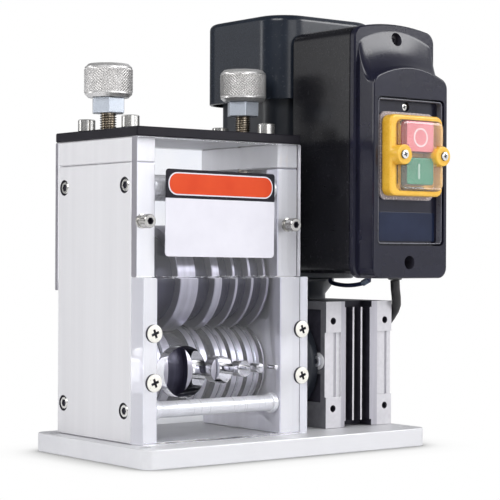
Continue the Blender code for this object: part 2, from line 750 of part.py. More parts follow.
def pocket_middle_x(side):
    return inner_face_x(side) + side * POCKET_DEPTH / 2


def side_plate(name, side):
    inner = inner_face_x(side)
    outer = outer_face_x(side)
    low_x, high_x = sorted((inner, outer))
    plate = block(name, (low_x, PLATE_FRONT_Y, HEAD_FLOOR_Z), (high_x, PLATE_BACK_Y, PLATE_TOP_Z),
                  ALUMINIUM)
    bevel(plate, PLATE_BEVEL)
    pocket_outline = rounded_outline([
        (ROLLER_AXIS_Y - POCKET_WIDTH / 2, POCKET_FLOOR_Z, POCKET_CORNER_RADIUS),
        (ROLLER_AXIS_Y + POCKET_WIDTH / 2, POCKET_FLOOR_Z, POCKET_CORNER_RADIUS),
        (ROLLER_AXIS_Y + POCKET_WIDTH / 2, PLATE_TOP_Z + CUT_EXTRA, 0),
        (ROLLER_AXIS_Y - POCKET_WIDTH / 2, PLATE_TOP_Z + CUT_EXTRA, 0),
    ])
    low_x, high_x = sorted((inner - side * CUT_EXTRA, inner + side * POCKET_DEPTH))
    boolean(plate, slab(name + "_pocket", pocket_outline, low_x, high_x, "YZ"))
    mouth = (inner - side * CUT_EXTRA, ROLLER_AXIS_Y, LOWER_AXIS_Z)
    seat = (inner + side * POCKET_DEPTH, ROLLER_AXIS_Y, LOWER_AXIS_Z)
    cut_rod(plate, name + "_bearing_seat", mouth, seat,
            bore_radius(BEARING_OUTER_RADIUS, LARGE_STEPS), LARGE_STEPS)
    if side == SIDES["right"]:
        beyond = (outer + side * CUT_EXTRA, ROLLER_AXIS_Y, LOWER_AXIS_Z)
        cut_rod(plate, name + "_shaft_hole", mouth, beyond, bore_radius(SHAFT_RADIUS))


def cap_screw_rows():
    return (ROLLER_AXIS_Y - CAP_SCREW_SPACING / 2, ROLLER_AXIS_Y + CAP_SCREW_SPACING / 2)


def cap_bar(name, side):
    low_x, high_x = sorted((inner_face_x(side), outer_face_x(side)))
    bar = block(name, (low_x, PLATE_FRONT_Y, CAP_BAR_BOTTOM_Z),
                (high_x, PLATE_BACK_Y, CAP_BAR_TOP_Z), ALUMINIUM)
    bevel(bar, PLATE_BEVEL)
    x = pocket_middle_x(side)
    cut_rod(bar, name + "_adjuster_hole", (x, ROLLER_AXIS_Y, CAP_BAR_BOTTOM_Z - CUT_EXTRA),
            (x, ROLLER_AXIS_Y, CAP_BAR_TOP_Z + CUT_EXTRA), bore_radius(ADJUSTER_SCREW_RADIUS))
    tip_z = TOP_PLATE_TOP_Z + SEAT_GAP - CAP_SCREW_LENGTH
    for y in cap_screw_rows():
        cut_rod(bar, name + "_screw_hole", (x, y, tip_z - FIT_GAP),
                (x, y, CAP_BAR_TOP_Z + CUT_EXTRA), bore_radius(CAP_SCREW_RADIUS, SMALL_STEPS),
                SMALL_STEPS)


def top_plate():
    plate = block("top_plate", (HEAD_LEFT_X, COVER_FRONT_Y, TOP_PLATE_BOTTOM_Z),
                  (HEAD_RIGHT_X, REAR_COVER_BACK_Y, TOP_PLATE_TOP_Z), BLACK_PAINT)
    bevel(plate, TOP_PLATE_BEVEL)
    below = TOP_PLATE_BOTTOM_Z - CUT_EXTRA
    above = TOP_PLATE_TOP_Z + CUT_EXTRA
    for side in SIDES.values():
        x = pocket_middle_x(side)
        cut_rod(plate, "top_adjuster_hole", (x, ROLLER_AXIS_Y, below),
                (x, ROLLER_AXIS_Y, above), bore_radius(ADJUSTER_SCREW_RADIUS))
        for y in cap_screw_rows():
            cut_rod(plate, "top_screw_hole", (x, y, below), (x, y, above),
                    bore_radius(CAP_SCREW_RADIUS, SMALL_STEPS), SMALL_STEPS)


def cap_screw(name, side, y):
    bottom = TOP_PLATE_TOP_Z + SEAT_GAP
    profile = [
        (0, CAP_HEAD_HEIGHT - CAP_SOCKET_DEPTH), (CAP_SOCKET_RADIUS, CAP_HEAD_HEIGHT - CAP_SOCKET_DEPTH),
        (CAP_SOCKET_RADIUS, CAP_HEAD_HEIGHT), (CAP_HEAD_RADIUS, CAP_HEAD_HEIGHT),
        (CAP_HEAD_RADIUS, 0),
        (CAP_SCREW_RADIUS, 0), (CAP_SCREW_RADIUS, -CAP_SCREW_LENGTH), (0, -CAP_SCREW_LENGTH),
    ]
    turned(name, profile, (pocket_middle_x(side), y, bottom), (0, 0, 1), CHROME, SMALL_STEPS)


def tie_rod(name, y, z, radius, collar_step=0):
    """A bar held between the inner faces of the side plates, with or without end collars."""
    half = PLATE_SPACING / 2 - SEAT_GAP
    collar = radius + collar_step
    shoulder = half - ROD_COLLAR_LENGTH
    profile = [(0, half), (collar, half)]
    if collar_step:
        profile += [(collar, shoulder), (radius, shoulder), (radius, -shoulder),
                    (collar, -shoulder)]
    profile += [(collar, -half), (0, -half)]
    turned(name, profile, (HEAD_CENTER_X, y, z), (1, 0, 0), CHROME, SMALL_STEPS)


def tie_rods():
    inset = max(UPPER_ROD_RADIUS, LOWER_ROD_RADIUS + ROD_COLLAR_STEP) + ROD_EDGE_GAP
    front_y = PLATE_FRONT_Y + inset
    rear_y = PLATE_BACK_Y - inset
    tie_rod("front_upper_tie_rod", front_y, UPPER_ROD_Z, UPPER_ROD_RADIUS)
    tie_rod("rear_upper_tie_rod", rear_y, UPPER_ROD_Z, UPPER_ROD_RADIUS)
    tie_rod("front_lower_tie_rod", front_y, LOWER_ROD_Z, LOWER_ROD_RADIUS, ROD_COLLAR_STEP)
    tie_rod("rear_lower_tie_rod", rear_y, LOWER_ROD_Z, LOWER_ROD_RADIUS, ROD_COLLAR_STEP)


def channel_layout():
    """Wires as (centre, hole radius) and ridges as (centre, width), fitted to the roller."""
    fit = ROLLER_LENGTH / (END_LAND + sum(groove + ridge for groove, _, _, ridge in CHANNELS))
    edge = -ROLLER_LENGTH / 2
    wires = []
    ridges = []
    for groove, place, hole_radius, ridge in CHANNELS:
        wires.append((edge + place * fit, hole_radius))
        edge += groove * fit
        ridges.append((edge + ridge * fit / 2, ridge * fit))
        edge += ridge * fit
    return wires, ridges


def front_guide_block():
    guide = block("front_guide_block", (HEAD_LEFT_X, GUIDE_BLOCK_FRONT_Y, HEAD_FLOOR_Z),
                  (HEAD_RIGHT_X, COVER_BACK_Y, GUIDE_BLOCK_TOP_Z), CLEAR_ACRYLIC)
    bevel(guide, COVER_BEVEL)
    for center, radius in channel_layout()[0]:
        x = HEAD_CENTER_X + center
        cut_rod(guide, "guide_hole", (x, GUIDE_BLOCK_FRONT_Y - CUT_EXTRA, GUIDE_HOLE_Z),
                (x, COVER_BACK_Y + CUT_EXTRA, GUIDE_HOLE_Z), radius,
                LARGE_STEPS if radius > COARSE_HOLE_RADIUS else SMALL_STEPS)


def upper_front_cover():
    cover = block("upper_front_cover",
                  (HEAD_LEFT_X, COVER_FRONT_Y, GUIDE_BLOCK_TOP_Z + SEAT_GAP),
                  (HEAD_RIGHT_X, COVER_BACK_Y, CAP_BAR_TOP_Z), CLEAR_ACRYLIC)
    bevel(cover, COVER_BEVEL)


def rear_cover():
    cover = block("rear_cover", (HEAD_LEFT_X, REAR_COVER_FRONT_Y, REAR_COVER_BOTTOM_Z),
                  (HEAD_RIGHT_X, REAR_COVER_BACK_Y, CAP_BAR_TOP_Z), CLEAR_ACRYLIC)
    bevel(cover, COVER_BEVEL)


def bearing(name, side, z):
    """A sealed ball bearing: two races with the seal set back between them."""
    x = pocket_middle_x(side)
    half = BEARING_WIDTH / 2
    inner = bore_radius(SHAFT_RADIUS)
    seal_half = half - BEARING_SEAL_STEP
    inner_race = inner + BEARING_RACE
    outer_race = BEARING_OUTER_RADIUS - BEARING_RACE
    profile = [
        (inner, half), (inner_race, half), (inner_race, seal_half), (outer_race, seal_half),
        (outer_race, half), (BEARING_OUTER_RADIUS, half), (BEARING_OUTER_RADIUS, -half),
        (inner, -half),
    ]
    turned(name, profile, (x, ROLLER_AXIS_Y, z), (-side, 0, 0), STEEL, MEDIUM_STEPS, closed=True)


def bearing_block(name, side):
    middle = pocket_middle_x(side)
    half = BLOCK_THICKNESS / 2
    half_width = POCKET_WIDTH / 2 - SEAT_GAP
    origin = (middle, ROLLER_AXIS_Y, UPPER_AXIS_Z)
    outline = rounded_outline([
        (ROLLER_AXIS_Y - half_width, BLOCK_BOTTOM_Z, POCKET_CORNER_RADIUS),
        (ROLLER_AXIS_Y + half_width, BLOCK_BOTTOM_Z, POCKET_CORNER_RADIUS),
        (ROLLER_AXIS_Y + half_width, BLOCK_TOP_Z, BLOCK_BEVEL),
        (ROLLER_AXIS_Y - half_width, BLOCK_TOP_Z, BLOCK_BEVEL),
    ])
    body = slab(name, outline, middle - half, middle + half, "YZ", ALUMINIUM, origin)
    cut_rod(body, name + "_bore", (middle - half - CUT_EXTRA, ROLLER_AXIS_Y, UPPER_AXIS_Z),
            (middle + half + CUT_EXTRA, ROLLER_AXIS_Y, UPPER_AXIS_Z),
            bore_radius(BEARING_OUTER_RADIUS, LARGE_STEPS), LARGE_STEPS)


def stepped_profile(steps_along, base_radius, half_length, bore):
    """A roller section: base radius between the ends, with (centre, width, radius) steps."""
    edge = ROLLER_EDGE
    outer = [(bore, half_length), (base_radius - edge, half_length),
             (base_radius, half_length - edge)]
    for center, width, radius in sorted(steps_along, reverse=True):
        high = center + width / 2
        low = center - width / 2
        outer += [(base_radius, high), (radius, high), (radius, low), (base_radius, low)]
    outer.append((base_radius, edge - half_length))
    outer.append((base_radius - edge, -half_length))
    outer.append((bore, -half_length))
    return outer


def upper_roller():
    place = (HEAD_CENTER_X, ROLLER_AXIS_Y, UPPER_AXIS_Z)
    ridges = [(center, width, UPPER_RIDGE_RADIUS) for center, width in channel_layout()[1]]
    profile = stepped_profile(ridges, UPPER_GROOVE_RADIUS, ROLLER_LENGTH / 2,
                              bore_radius(SHAFT_RADIUS))
    turned("upper_roller", profile, place, (1, 0, 0), STEEL, LARGE_STEPS, closed=True)
    left = pocket_middle_x(SIDES["left"]) - BEARING_WIDTH / 2
    right = pocket_middle_x(SIDES["right"]) + BEARING_WIDTH / 2
    rod("upper_shaft", (left, ROLLER_AXIS_Y, UPPER_AXIS_Z), (right, ROLLER_AXIS_Y, UPPER_AXIS_Z),
        SHAFT_RADIUS, STEEL)


def lower_roller():
    place = (HEAD_CENTER_X, ROLLER_AXIS_Y, LOWER_AXIS_Z)
    wires, ridges = channel_layout()
    slots = [(center, width + 2 * RIDGE_SIDE_GAP, LOWER_SLOT_RADIUS) for center, width in ridges]
    seats = [(center, BLADE_THICKNESS + 2 * FIT_GAP, BLADE_SEAT_RADIUS) for center, _ in wires]
    profile = stepped_profile(slots + seats, LOWER_LAND_RADIUS, ROLLER_LENGTH / 2,
                              bore_radius(SHAFT_RADIUS))
    turned("lower_roller", profile, place, (1, 0, 0), STEEL, LARGE_STEPS, closed=True)


def blades():
    half = BLADE_THICKNESS / 2
    inner = bore_radius(BLADE_SEAT_RADIUS, LARGE_STEPS)
    shoulder = BLADE_RADIUS - BLADE_EDGE
    profile = [
        (inner, half), (shoulder, half), (BLADE_RADIUS, 0), (shoulder, -half), (inner, -half),
    ]
    for number, (center, _) in enumerate(channel_layout()[0], 1):
        place = (HEAD_CENTER_X + center, ROLLER_AXIS_Y, LOWER_AXIS_Z)
        turned(f"slitting_blade_{number}", profile, place, (1, 0, 0), BLADE_STEEL, LARGE_STEPS,
               closed=True)


def output_end_x():
    return GEARBOX_RIGHT_X - SIDE_COVER_THICKNESS


def lower_shaft():
    left = pocket_middle_x(SIDES["left"]) - BEARING_WIDTH / 2
    rod("lower_shaft", (left, ROLLER_AXIS_Y, LOWER_AXIS_Z),
        (output_end_x(), ROLLER_AXIS_Y, LOWER_AXIS_Z), SHAFT_RADIUS, STEEL)


def shaft_coupling():
    flange_left = GEARBOX_LEFT_X - SEAT_GAP - OUTPUT_FLANGE_THICKNESS - OUTPUT_HUB_LENGTH
    middle = (HEAD_RIGHT_X + flange_left) / 2
    half = min(COUPLING_LENGTH, flange_left - HEAD_RIGHT_X - 2 * SEAT_GAP) / 2
    profile = ring_profile(bore_radius(SHAFT_RADIUS), COUPLING_RADIUS, -half, half,
                           COUPLING_CHAMFER)
    turned("shaft_coupling", profile, (middle, ROLLER_AXIS_Y, LOWER_AXIS_Z), (1, 0, 0), CHROME,
           MEDIUM_STEPS, closed=True)


def gearbox_front_outline():
    """The housing from above: pads, angled flanks and the fins between them."""
    half = GEARBOX_WIDTH / 2
    pad_inner = half - PAD_WIDTH
    flank_end = pad_inner - FLANK_RUN
    front = GEARBOX_FRONT_Y
    floor = front + FLANK_DEPTH + FIN_GAP_DEPTH
    right = [(flank_end, floor), (flank_end, front + FLANK_DEPTH), (pad_inner, front),
             (half, front), (half, GEARBOX_BACK_Y)]
    left = [(-x, y) for x, y in reversed(right)]
    fins = []
    for index in range(FIN_COUNT):
        center = flank_end * (2 * (index + 1) / (FIN_COUNT + 1) - 1)
        near = center - FIN_THICKNESS / 2
        far = center + FIN_THICKNESS / 2
        near_foot = floor - FIN_FLOOR_CROWN * (1 - (near / flank_end) ** 2)
        far_foot = floor - FIN_FLOOR_CROWN * (1 - (far / flank_end) ** 2)
        fins += [
            (near, near_foot), (near, front + FIN_SETBACK), (far, front + FIN_SETBACK),
            (far, far_foot),
        ]
    return [(DRIVE_X + x, y) for x, y in left + fins + right]


def gearbox_housing():
    housing = slab("gearbox_housing", gearbox_front_outline(), HEAD_FLOOR_Z, GEARBOX_TOP_Z, "XY",
                   CAST_ALUMINIUM)
    front = GEARBOX_FRONT_Y
    middle_z = (HEAD_FLOOR_Z + GEARBOX_TOP_Z) / 2
    strip_low = HEAD_FLOOR_Z + PAD_HEIGHT
    strip_high = GEARBOX_TOP_Z - PAD_HEIGHT
    for side in SIDES.values():
        edge = DRIVE_X + side * GEARBOX_WIDTH / 2
        low_x, high_x = sorted((edge + side * CUT_EXTRA, edge - side * PAD_WIDTH))
        strip = block("pad_step", (low_x, front - CUT_EXTRA, strip_low),
                      (high_x, front + PAD_STEP, strip_high))
        boolean(housing, strip)
        groove_x = edge - side * STRIP_GROOVE_INSET
        groove = block("strip_groove", (groove_x - STRIP_GROOVE_WIDTH / 2, front, strip_low),
                       (groove_x + STRIP_GROOVE_WIDTH / 2,
                        front + PAD_STEP + STRIP_GROOVE_DEPTH, strip_high))
        boolean(housing, groove)
        hole_x = edge - side * PAD_HOLE_INSET
        for hole_z in (middle_z - PAD_HOLE_HALF_SPACING, middle_z + PAD_HOLE_HALF_SPACING):
            cut_rod(housing, "pad_hole", (hole_x, front - CUT_EXTRA, hole_z),
                    (hole_x, front + PAD_HOLE_DEPTH, hole_z), PAD_HOLE_RADIUS, PAD_HOLE_STEPS)
    cut_rod(housing, "wheel_cavity",
            (GEARBOX_LEFT_X - CUT_EXTRA, ROLLER_AXIS_Y, LOWER_AXIS_Z),
            (GEARBOX_RIGHT_X + CUT_EXTRA, ROLLER_AXIS_Y, LOWER_AXIS_Z), WHEEL_CAVITY_RADIUS,
            LARGE_STEPS)
    worm_low = LOWER_AXIS_Z - WORM_LENGTH / 2 - WORM_END_ROOM
    cut_rod(housing, "worm_bore", (DRIVE_X, WORM_Y, worm_low),
            (DRIVE_X, WORM_Y, GEARBOX_TOP_Z + CUT_EXTRA), WORM_BORE_RADIUS)


def output_flange():
    """The flange that closes the wheel cavity on the head's side, with its shaft hub."""
    bore = bore_radius(SHAFT_RADIUS)
    spigot = WHEEL_CAVITY_RADIUS - 2 * FIT_GAP
    high = COVER_SPIGOT_LENGTH
    back = -SEAT_GAP
    front = back - OUTPUT_FLANGE_THICKNESS
    profile = [
        (bore, high), (spigot, high), (spigot, back), (OUTPUT_FLANGE_RADIUS, back),
        (OUTPUT_FLANGE_RADIUS, front + OUTPUT_FLANGE_CHAMFER),
        (OUTPUT_FLANGE_RADIUS - OUTPUT_FLANGE_CHAMFER, front), (OUTPUT_HUB_RADIUS, front),
        (OUTPUT_HUB_RADIUS - OUTPUT_HUB_TAPER, front - OUTPUT_HUB_LENGTH),
        (bore, front - OUTPUT_HUB_LENGTH),
    ]
    turned("output_flange", profile, (GEARBOX_LEFT_X, ROLLER_AXIS_Y, LOWER_AXIS_Z), (1, 0, 0),
           BLACK_PAINT, LARGE_STEPS, closed=True)


def gearbox_side_cover():
    spigot = WHEEL_CAVITY_RADIUS - 2 * FIT_GAP
    low = -COVER_SPIGOT_LENGTH
    seat = SEAT_GAP
    top = seat + SIDE_COVER_THICKNESS
    shaft_room = bore_radius(SHAFT_RADIUS)
    floor = output_end_x() - GEARBOX_RIGHT_X + FIT_GAP
    profile = [
        (0, top), (SIDE_COVER_RADIUS - SIDE_COVER_CHAMFER, top),
        (SIDE_COVER_RADIUS, top - SIDE_COVER_CHAMFER),
        (SIDE_COVER_RADIUS, seat), (spigot, seat), (spigot, low), (shaft_room, low),
        (shaft_room, floor), (0, floor),
    ]
    turned("gearbox_side_cover", profile, (GEARBOX_RIGHT_X, ROLLER_AXIS_Y, LOWER_AXIS_Z),
           (1, 0, 0), CAST_ALUMINIUM, LARGE_STEPS)


def worm_wheel():
    """The bronze wheel: a toothed rim whose teeth lean with the worm's lead."""
    root = WHEEL_PITCH_RADIUS - 1.1 * TOOTH_ADDENDUM
    tip = WHEEL_PITCH_RADIUS + 0.8 * TOOTH_ADDENDUM
    lead = WORM_PITCH / (2 * pi * WORM_PITCH_RADIUS)
    pitch_angle = 2 * pi / WHEEL_TEETH
    root_half = (pitch_angle - TOOTH_SLACK / WHEEL_PITCH_RADIUS) * 0.36
    tip_half = root_half * 0.42
    half = WHEEL_WIDTH / 2
    mesh = bpy.data.meshes.new("worm_wheel")
    shape = bmesh.new()
    rings = []
    for x in (-half, half):
        lean = lead * x / WHEEL_PITCH_RADIUS
        ring = []
        for tooth in range(WHEEL_TEETH):
            middle = (tooth + 0.5) * pitch_angle + lean
            for angle, radius in ((-root_half, root), (-tip_half, tip), (tip_half, tip),
                                  (root_half, root)):
                turn = middle + angle
                ring.append(shape.verts.new((x, radius * cos(turn), radius * sin(turn))))
        rings.append(ring)
    count = len(rings[0])
    for i in range(count):
        j = (i + 1) % count
        shape.faces.new((rings[0][i], rings[0][j], rings[1][j], rings[1][i]))
    shape.faces.new(rings[0])
    shape.faces.new(rings[1])
    bmesh.ops.recalc_face_normals(shape, faces=shape.faces)
    shape.to_mesh(mesh)
    shape.free()
    place = (DRIVE_X, ROLLER_AXIS_Y, LOWER_AXIS_Z)
    wheel = add_object("worm_wheel", mesh, BRONZE, place)
    hub_half = WHEEL_HUB_LENGTH / 2
    hub = rod("worm_wheel_hub", (DRIVE_X - hub_half, ROLLER_AXIS_Y, LOWER_AXIS_Z),
              (DRIVE_X + hub_half, ROLLER_AXIS_Y, LOWER_AXIS_Z), WHEEL_HUB_RADIUS)
    boolean(wheel, hub, "UNION")
    cut_rod(wheel, "worm_wheel_bore", (DRIVE_X - hub_half - CUT_EXTRA, ROLLER_AXIS_Y, LOWER_AXIS_Z),
            (DRIVE_X + hub_half + CUT_EXTRA, ROLLER_AXIS_Y, LOWER_AXIS_Z), bore_radius(SHAFT_RADIUS))


def worm_mesh(name):
    """A worm: one helical thread on a round core, as a grid wrapped round the axis.

    The quarter turn puts a crest into the wheel's tooth gap at rest."""
    root = WORM_PITCH_RADIUS - 0.8 * TOOTH_ADDENDUM - WORM_ROOT_GAP
    tip = WORM_PITCH_RADIUS + 0.8 * TOOTH_ADDENDUM
    rows = round(WORM_LENGTH / WORM_PITCH) * WORM_ROWS_PER_TURN
    shape = bmesh.new()
    grid = []
    for row in range(rows + 1):
        z = WORM_LENGTH * (row / rows - 0.5)
        ring = []
        for side in range(WORM_SIDES):
            turn = 2 * pi * side / WORM_SIDES
            phase = (z / WORM_PITCH - turn / (2 * pi) + 0.25) % 1.0
            height = max(0.0, min(1.0, THREAD_FULLNESS - THREAD_STEEPNESS * abs(phase - 0.5)))
            radius = root + (tip - root) * height
            ring.append(shape.verts.new((radius * cos(turn), radius * sin(turn), z)))
        grid.append(ring)
    for low, high in zip(grid, grid[1:]):
        for i in range(WORM_SIDES):
            j = (i + 1) % WORM_SIDES
            shape.faces.new((low[i], low[j], high[j], high[i]))
    shape.faces.new(reversed(grid[0]))
    shape.faces.new(grid[-1])
    mesh = bpy.data.meshes.new(name)
    shape.to_mesh(mesh)
    shape.free()
    return mesh


def motor_rotor():
    """The rotor core on its shaft, which carries the worm below and the fan above."""
    place = (DRIVE_X, WORM_Y, LOWER_AXIS_Z)
    rotor = add_object("motor_rotor", worm_mesh("motor_rotor"), STEEL, place)
    core_low = MOTOR_BOTTOM_Z + (MOTOR_HEIGHT - ROTOR_LENGTH) / 2 - LOWER_AXIS_Z
    core_high = core_low + ROTOR_LENGTH
    low = -WORM_LENGTH / 2 - ROTOR_SHAFT_TAIL
    top = fan_bottom_z() + FAN_HEIGHT + ROTOR_SHAFT_TAIL - LOWER_AXIS_Z
    shaft = turned("rotor_shaft", [
        (0, top), (ROTOR_SHAFT_RADIUS, top), (ROTOR_SHAFT_RADIUS, core_high),
        (ROTOR_RADIUS, core_high), (ROTOR_RADIUS, core_low), (ROTOR_SHAFT_RADIUS, core_low),
        (ROTOR_SHAFT_RADIUS, low), (0, low),
    ], place, (0, 0, 1), steps=MEDIUM_STEPS)
    boolean(rotor, shaft, "UNION")


def fan_bottom_z():
    return MOTOR_TOP_Z + FAN_LIFT


def motor_adapter():
    bore = bore_radius(ROTOR_SHAFT_RADIUS)
    spigot = WORM_BORE_RADIUS - 2 * FIT_GAP
    profile = [
        (bore, ADAPTER_HEIGHT), (ADAPTER_TOP_RADIUS, ADAPTER_HEIGHT),
        (ADAPTER_TOP_RADIUS, ADAPTER_HEIGHT - ADAPTER_RIM_HEIGHT),
        (ADAPTER_BOTTOM_RADIUS, ADAPTER_FOOT_HEIGHT), (ADAPTER_BOTTOM_RADIUS, 0),
        (spigot, 0), (spigot, -ADAPTER_SPIGOT_LENGTH), (bore, -ADAPTER_SPIGOT_LENGTH),
    ]
    turned("motor_adapter", profile, (DRIVE_X, WORM_Y, ADAPTER_BOTTOM_Z), (0, 0, 1), BLACK_PAINT,
           LARGE_STEPS, closed=True)


def motor_body():
    outline = rectangle(MOTOR_WIDTH, MOTOR_WIDTH, MOTOR_CORNER_RADIUS, (DRIVE_X, WORM_Y))
    body = slab("motor_body", outline, MOTOR_BOTTOM_Z, MOTOR_TOP_Z, "XY", BLACK_PAINT)
    bevel(body, MOTOR_EDGE_BEVEL, 1, 60)
    reach = FAN_COVER_WIDTH / 2 - FAN_COVER_WALL - SEAT_GAP
    half = MOTOR_LUG_WIDTH / 2
    low = MOTOR_TOP_Z - MOTOR_LUG_HEIGHT
    high = MOTOR_TOP_Z + MOTOR_LUG_PROUD
    across = block("motor_lug_x", (DRIVE_X - reach, WORM_Y - half, low),
                   (DRIVE_X + reach, WORM_Y + half, high))
    along = block("motor_lug_y", (DRIVE_X - half, WORM_Y - reach, low),
                  (DRIVE_X + half, WORM_Y + reach, high))
    boolean(body, across, "UNION")
    boolean(body, along, "UNION")
    cut_rod(body, "stator_bore", (DRIVE_X, WORM_Y, MOTOR_BOTTOM_Z + MOTOR_END_WALL),
            (DRIVE_X, WORM_Y, MOTOR_TOP_Z - MOTOR_END_WALL), STATOR_BORE_RADIUS)
    cut_rod(body, "rotor_passage", (DRIVE_X, WORM_Y, MOTOR_BOTTOM_Z - CUT_EXTRA),
            (DRIVE_X, WORM_Y, high + CUT_EXTRA), bore_radius(ROTOR_SHAFT_RADIUS))


def cooling_fan():
    place = (DRIVE_X, WORM_Y, fan_bottom_z())
    bore = bore_radius(ROTOR_SHAFT_RADIUS)
    fan = turned("cooling_fan", ring_profile(bore, FAN_HUB_RADIUS, 0, FAN_HEIGHT), place,
                 (0, 0, 1), BLACK_PLASTIC, MEDIUM_STEPS, closed=True)
    for index in range(FAN_BLADES):
        turn = Matrix.Rotation(2 * pi * index / FAN_BLADES, 4, "Z")
        vane = block("fan_vane", (FAN_HUB_RADIUS - FAN_BLADE_ROOT, -FAN_BLADE_THICKNESS / 2,
                                  FAN_BLADE_INSET),
                     (FAN_RADIUS, FAN_BLADE_THICKNESS / 2, FAN_HEIGHT - FAN_BLADE_INSET))
        vane.matrix_world = Matrix.Translation(place) @ turn
        boolean(fan, vane, "UNION")


def fan_cover():
    outline = rectangle(FAN_COVER_WIDTH, FAN_COVER_WIDTH, FAN_COVER_CORNER_RADIUS,
                        (DRIVE_X, WORM_Y))
    skirt_z = FAN_COVER_BOTTOM_Z - 2 * FAN_COVER_TOP_BEVEL
    cover = slab("fan_cover", outline, skirt_z, FAN_COVER_TOP_Z, "XY", BLACK_PLASTIC)
    bevel(cover, FAN_COVER_TOP_BEVEL, 2, 60)
    reach = FAN_COVER_WIDTH / 2 + CUT_EXTRA
    boolean(cover, block("fan_cover_skirt", (DRIVE_X - reach, WORM_Y - reach, skirt_z - CUT_EXTRA),
                         (DRIVE_X + reach, WORM_Y + reach, FAN_COVER_BOTTOM_Z)))
    inner_width = FAN_COVER_WIDTH - 2 * FAN_COVER_WALL
    inner = rectangle(inner_width, inner_width, FAN_COVER_CORNER_RADIUS - FAN_COVER_WALL,
                      (DRIVE_X, WORM_Y))
    hollow = slab("fan_cover_hollow", inner, FAN_COVER_BOTTOM_Z - CUT_EXTRA,
                  FAN_COVER_TOP_Z - FAN_COVER_ROOF, "XY")
    boolean(cover, hollow)
    for index in range(VENT_SLOTS):
        across = VENT_SPREAD * (2 * index / (VENT_SLOTS - 1) - 1)
        half = sqrt(VENT_RADIUS ** 2 - across ** 2)
        x = DRIVE_X + across
        slot = block("vent_slot", (x - VENT_SLOT_WIDTH / 2, WORM_Y - half,
                                   FAN_COVER_TOP_Z - FAN_COVER_ROOF - CUT_EXTRA),
                     (x + VENT_SLOT_WIDTH / 2, WORM_Y + half, FAN_COVER_TOP_Z + CUT_EXTRA))
        boolean(cover, slot)


def switch_box():
    """A deep box with an arched top, open at the front, with a neck to the motor."""
    half = BOX_WIDTH / 2
    outer = rounded_outline(arched_corners(half, BOX_BOTTOM_Z, BOX_SIDE_TOP_Z, BOX_ARCH_RISE,
                                           BOX_CORNER_RADIUS))
    box = slab("switch_box", outer, BOX_FRONT_Y, BOX_BACK_Y, "XZ", BLACK_PLASTIC)
    bevel(box, BOX_BACK_BEVEL, 2, 60)
    neck = block("switch_box_neck", (DRIVE_X - NECK_WIDTH / 2, BOX_BACK_Y - CUT_EXTRA, NECK_BOTTOM_Z),
                 (DRIVE_X + NECK_WIDTH / 2, WORM_Y - MOTOR_WIDTH / 2 - SEAT_GAP, NECK_TOP_Z))
    boolean(box, neck, "UNION")
    inner = rounded_outline(arched_corners(
        half - BOX_WALL, BOX_BOTTOM_Z + BOX_WALL, BOX_SIDE_TOP_Z - BOX_WALL, BOX_ARCH_RISE,
        BOX_CORNER_RADIUS - BOX_WALL))
    hollow = slab("switch_box_hollow", inner, BOX_FRONT_Y - CUT_EXTRA, BOX_BACK_Y - BOX_WALL, "XZ")
    boolean(box, hollow)
    cut_rod(box, "gland_hole", (GLAND_X, GLAND_Y, BOX_BOTTOM_Z - CUT_EXTRA),
            (GLAND_X, GLAND_Y, BOX_BOTTOM_Z + BOX_CORNER_RADIUS), bore_radius(GLAND_TIP_RADIUS))


def lid_section(y, inset, drop):
    half = LID_PANEL_WIDTH / 2 - inset
    corners = arched_corners(half, LID_PANEL_BOTTOM_Z + inset, LID_PANEL_SIDE_TOP_Z + drop - inset,
                             LID_PANEL_ARCH_RISE, LID_CORNER_RADIUS)
    return rounded_outline(corners), y


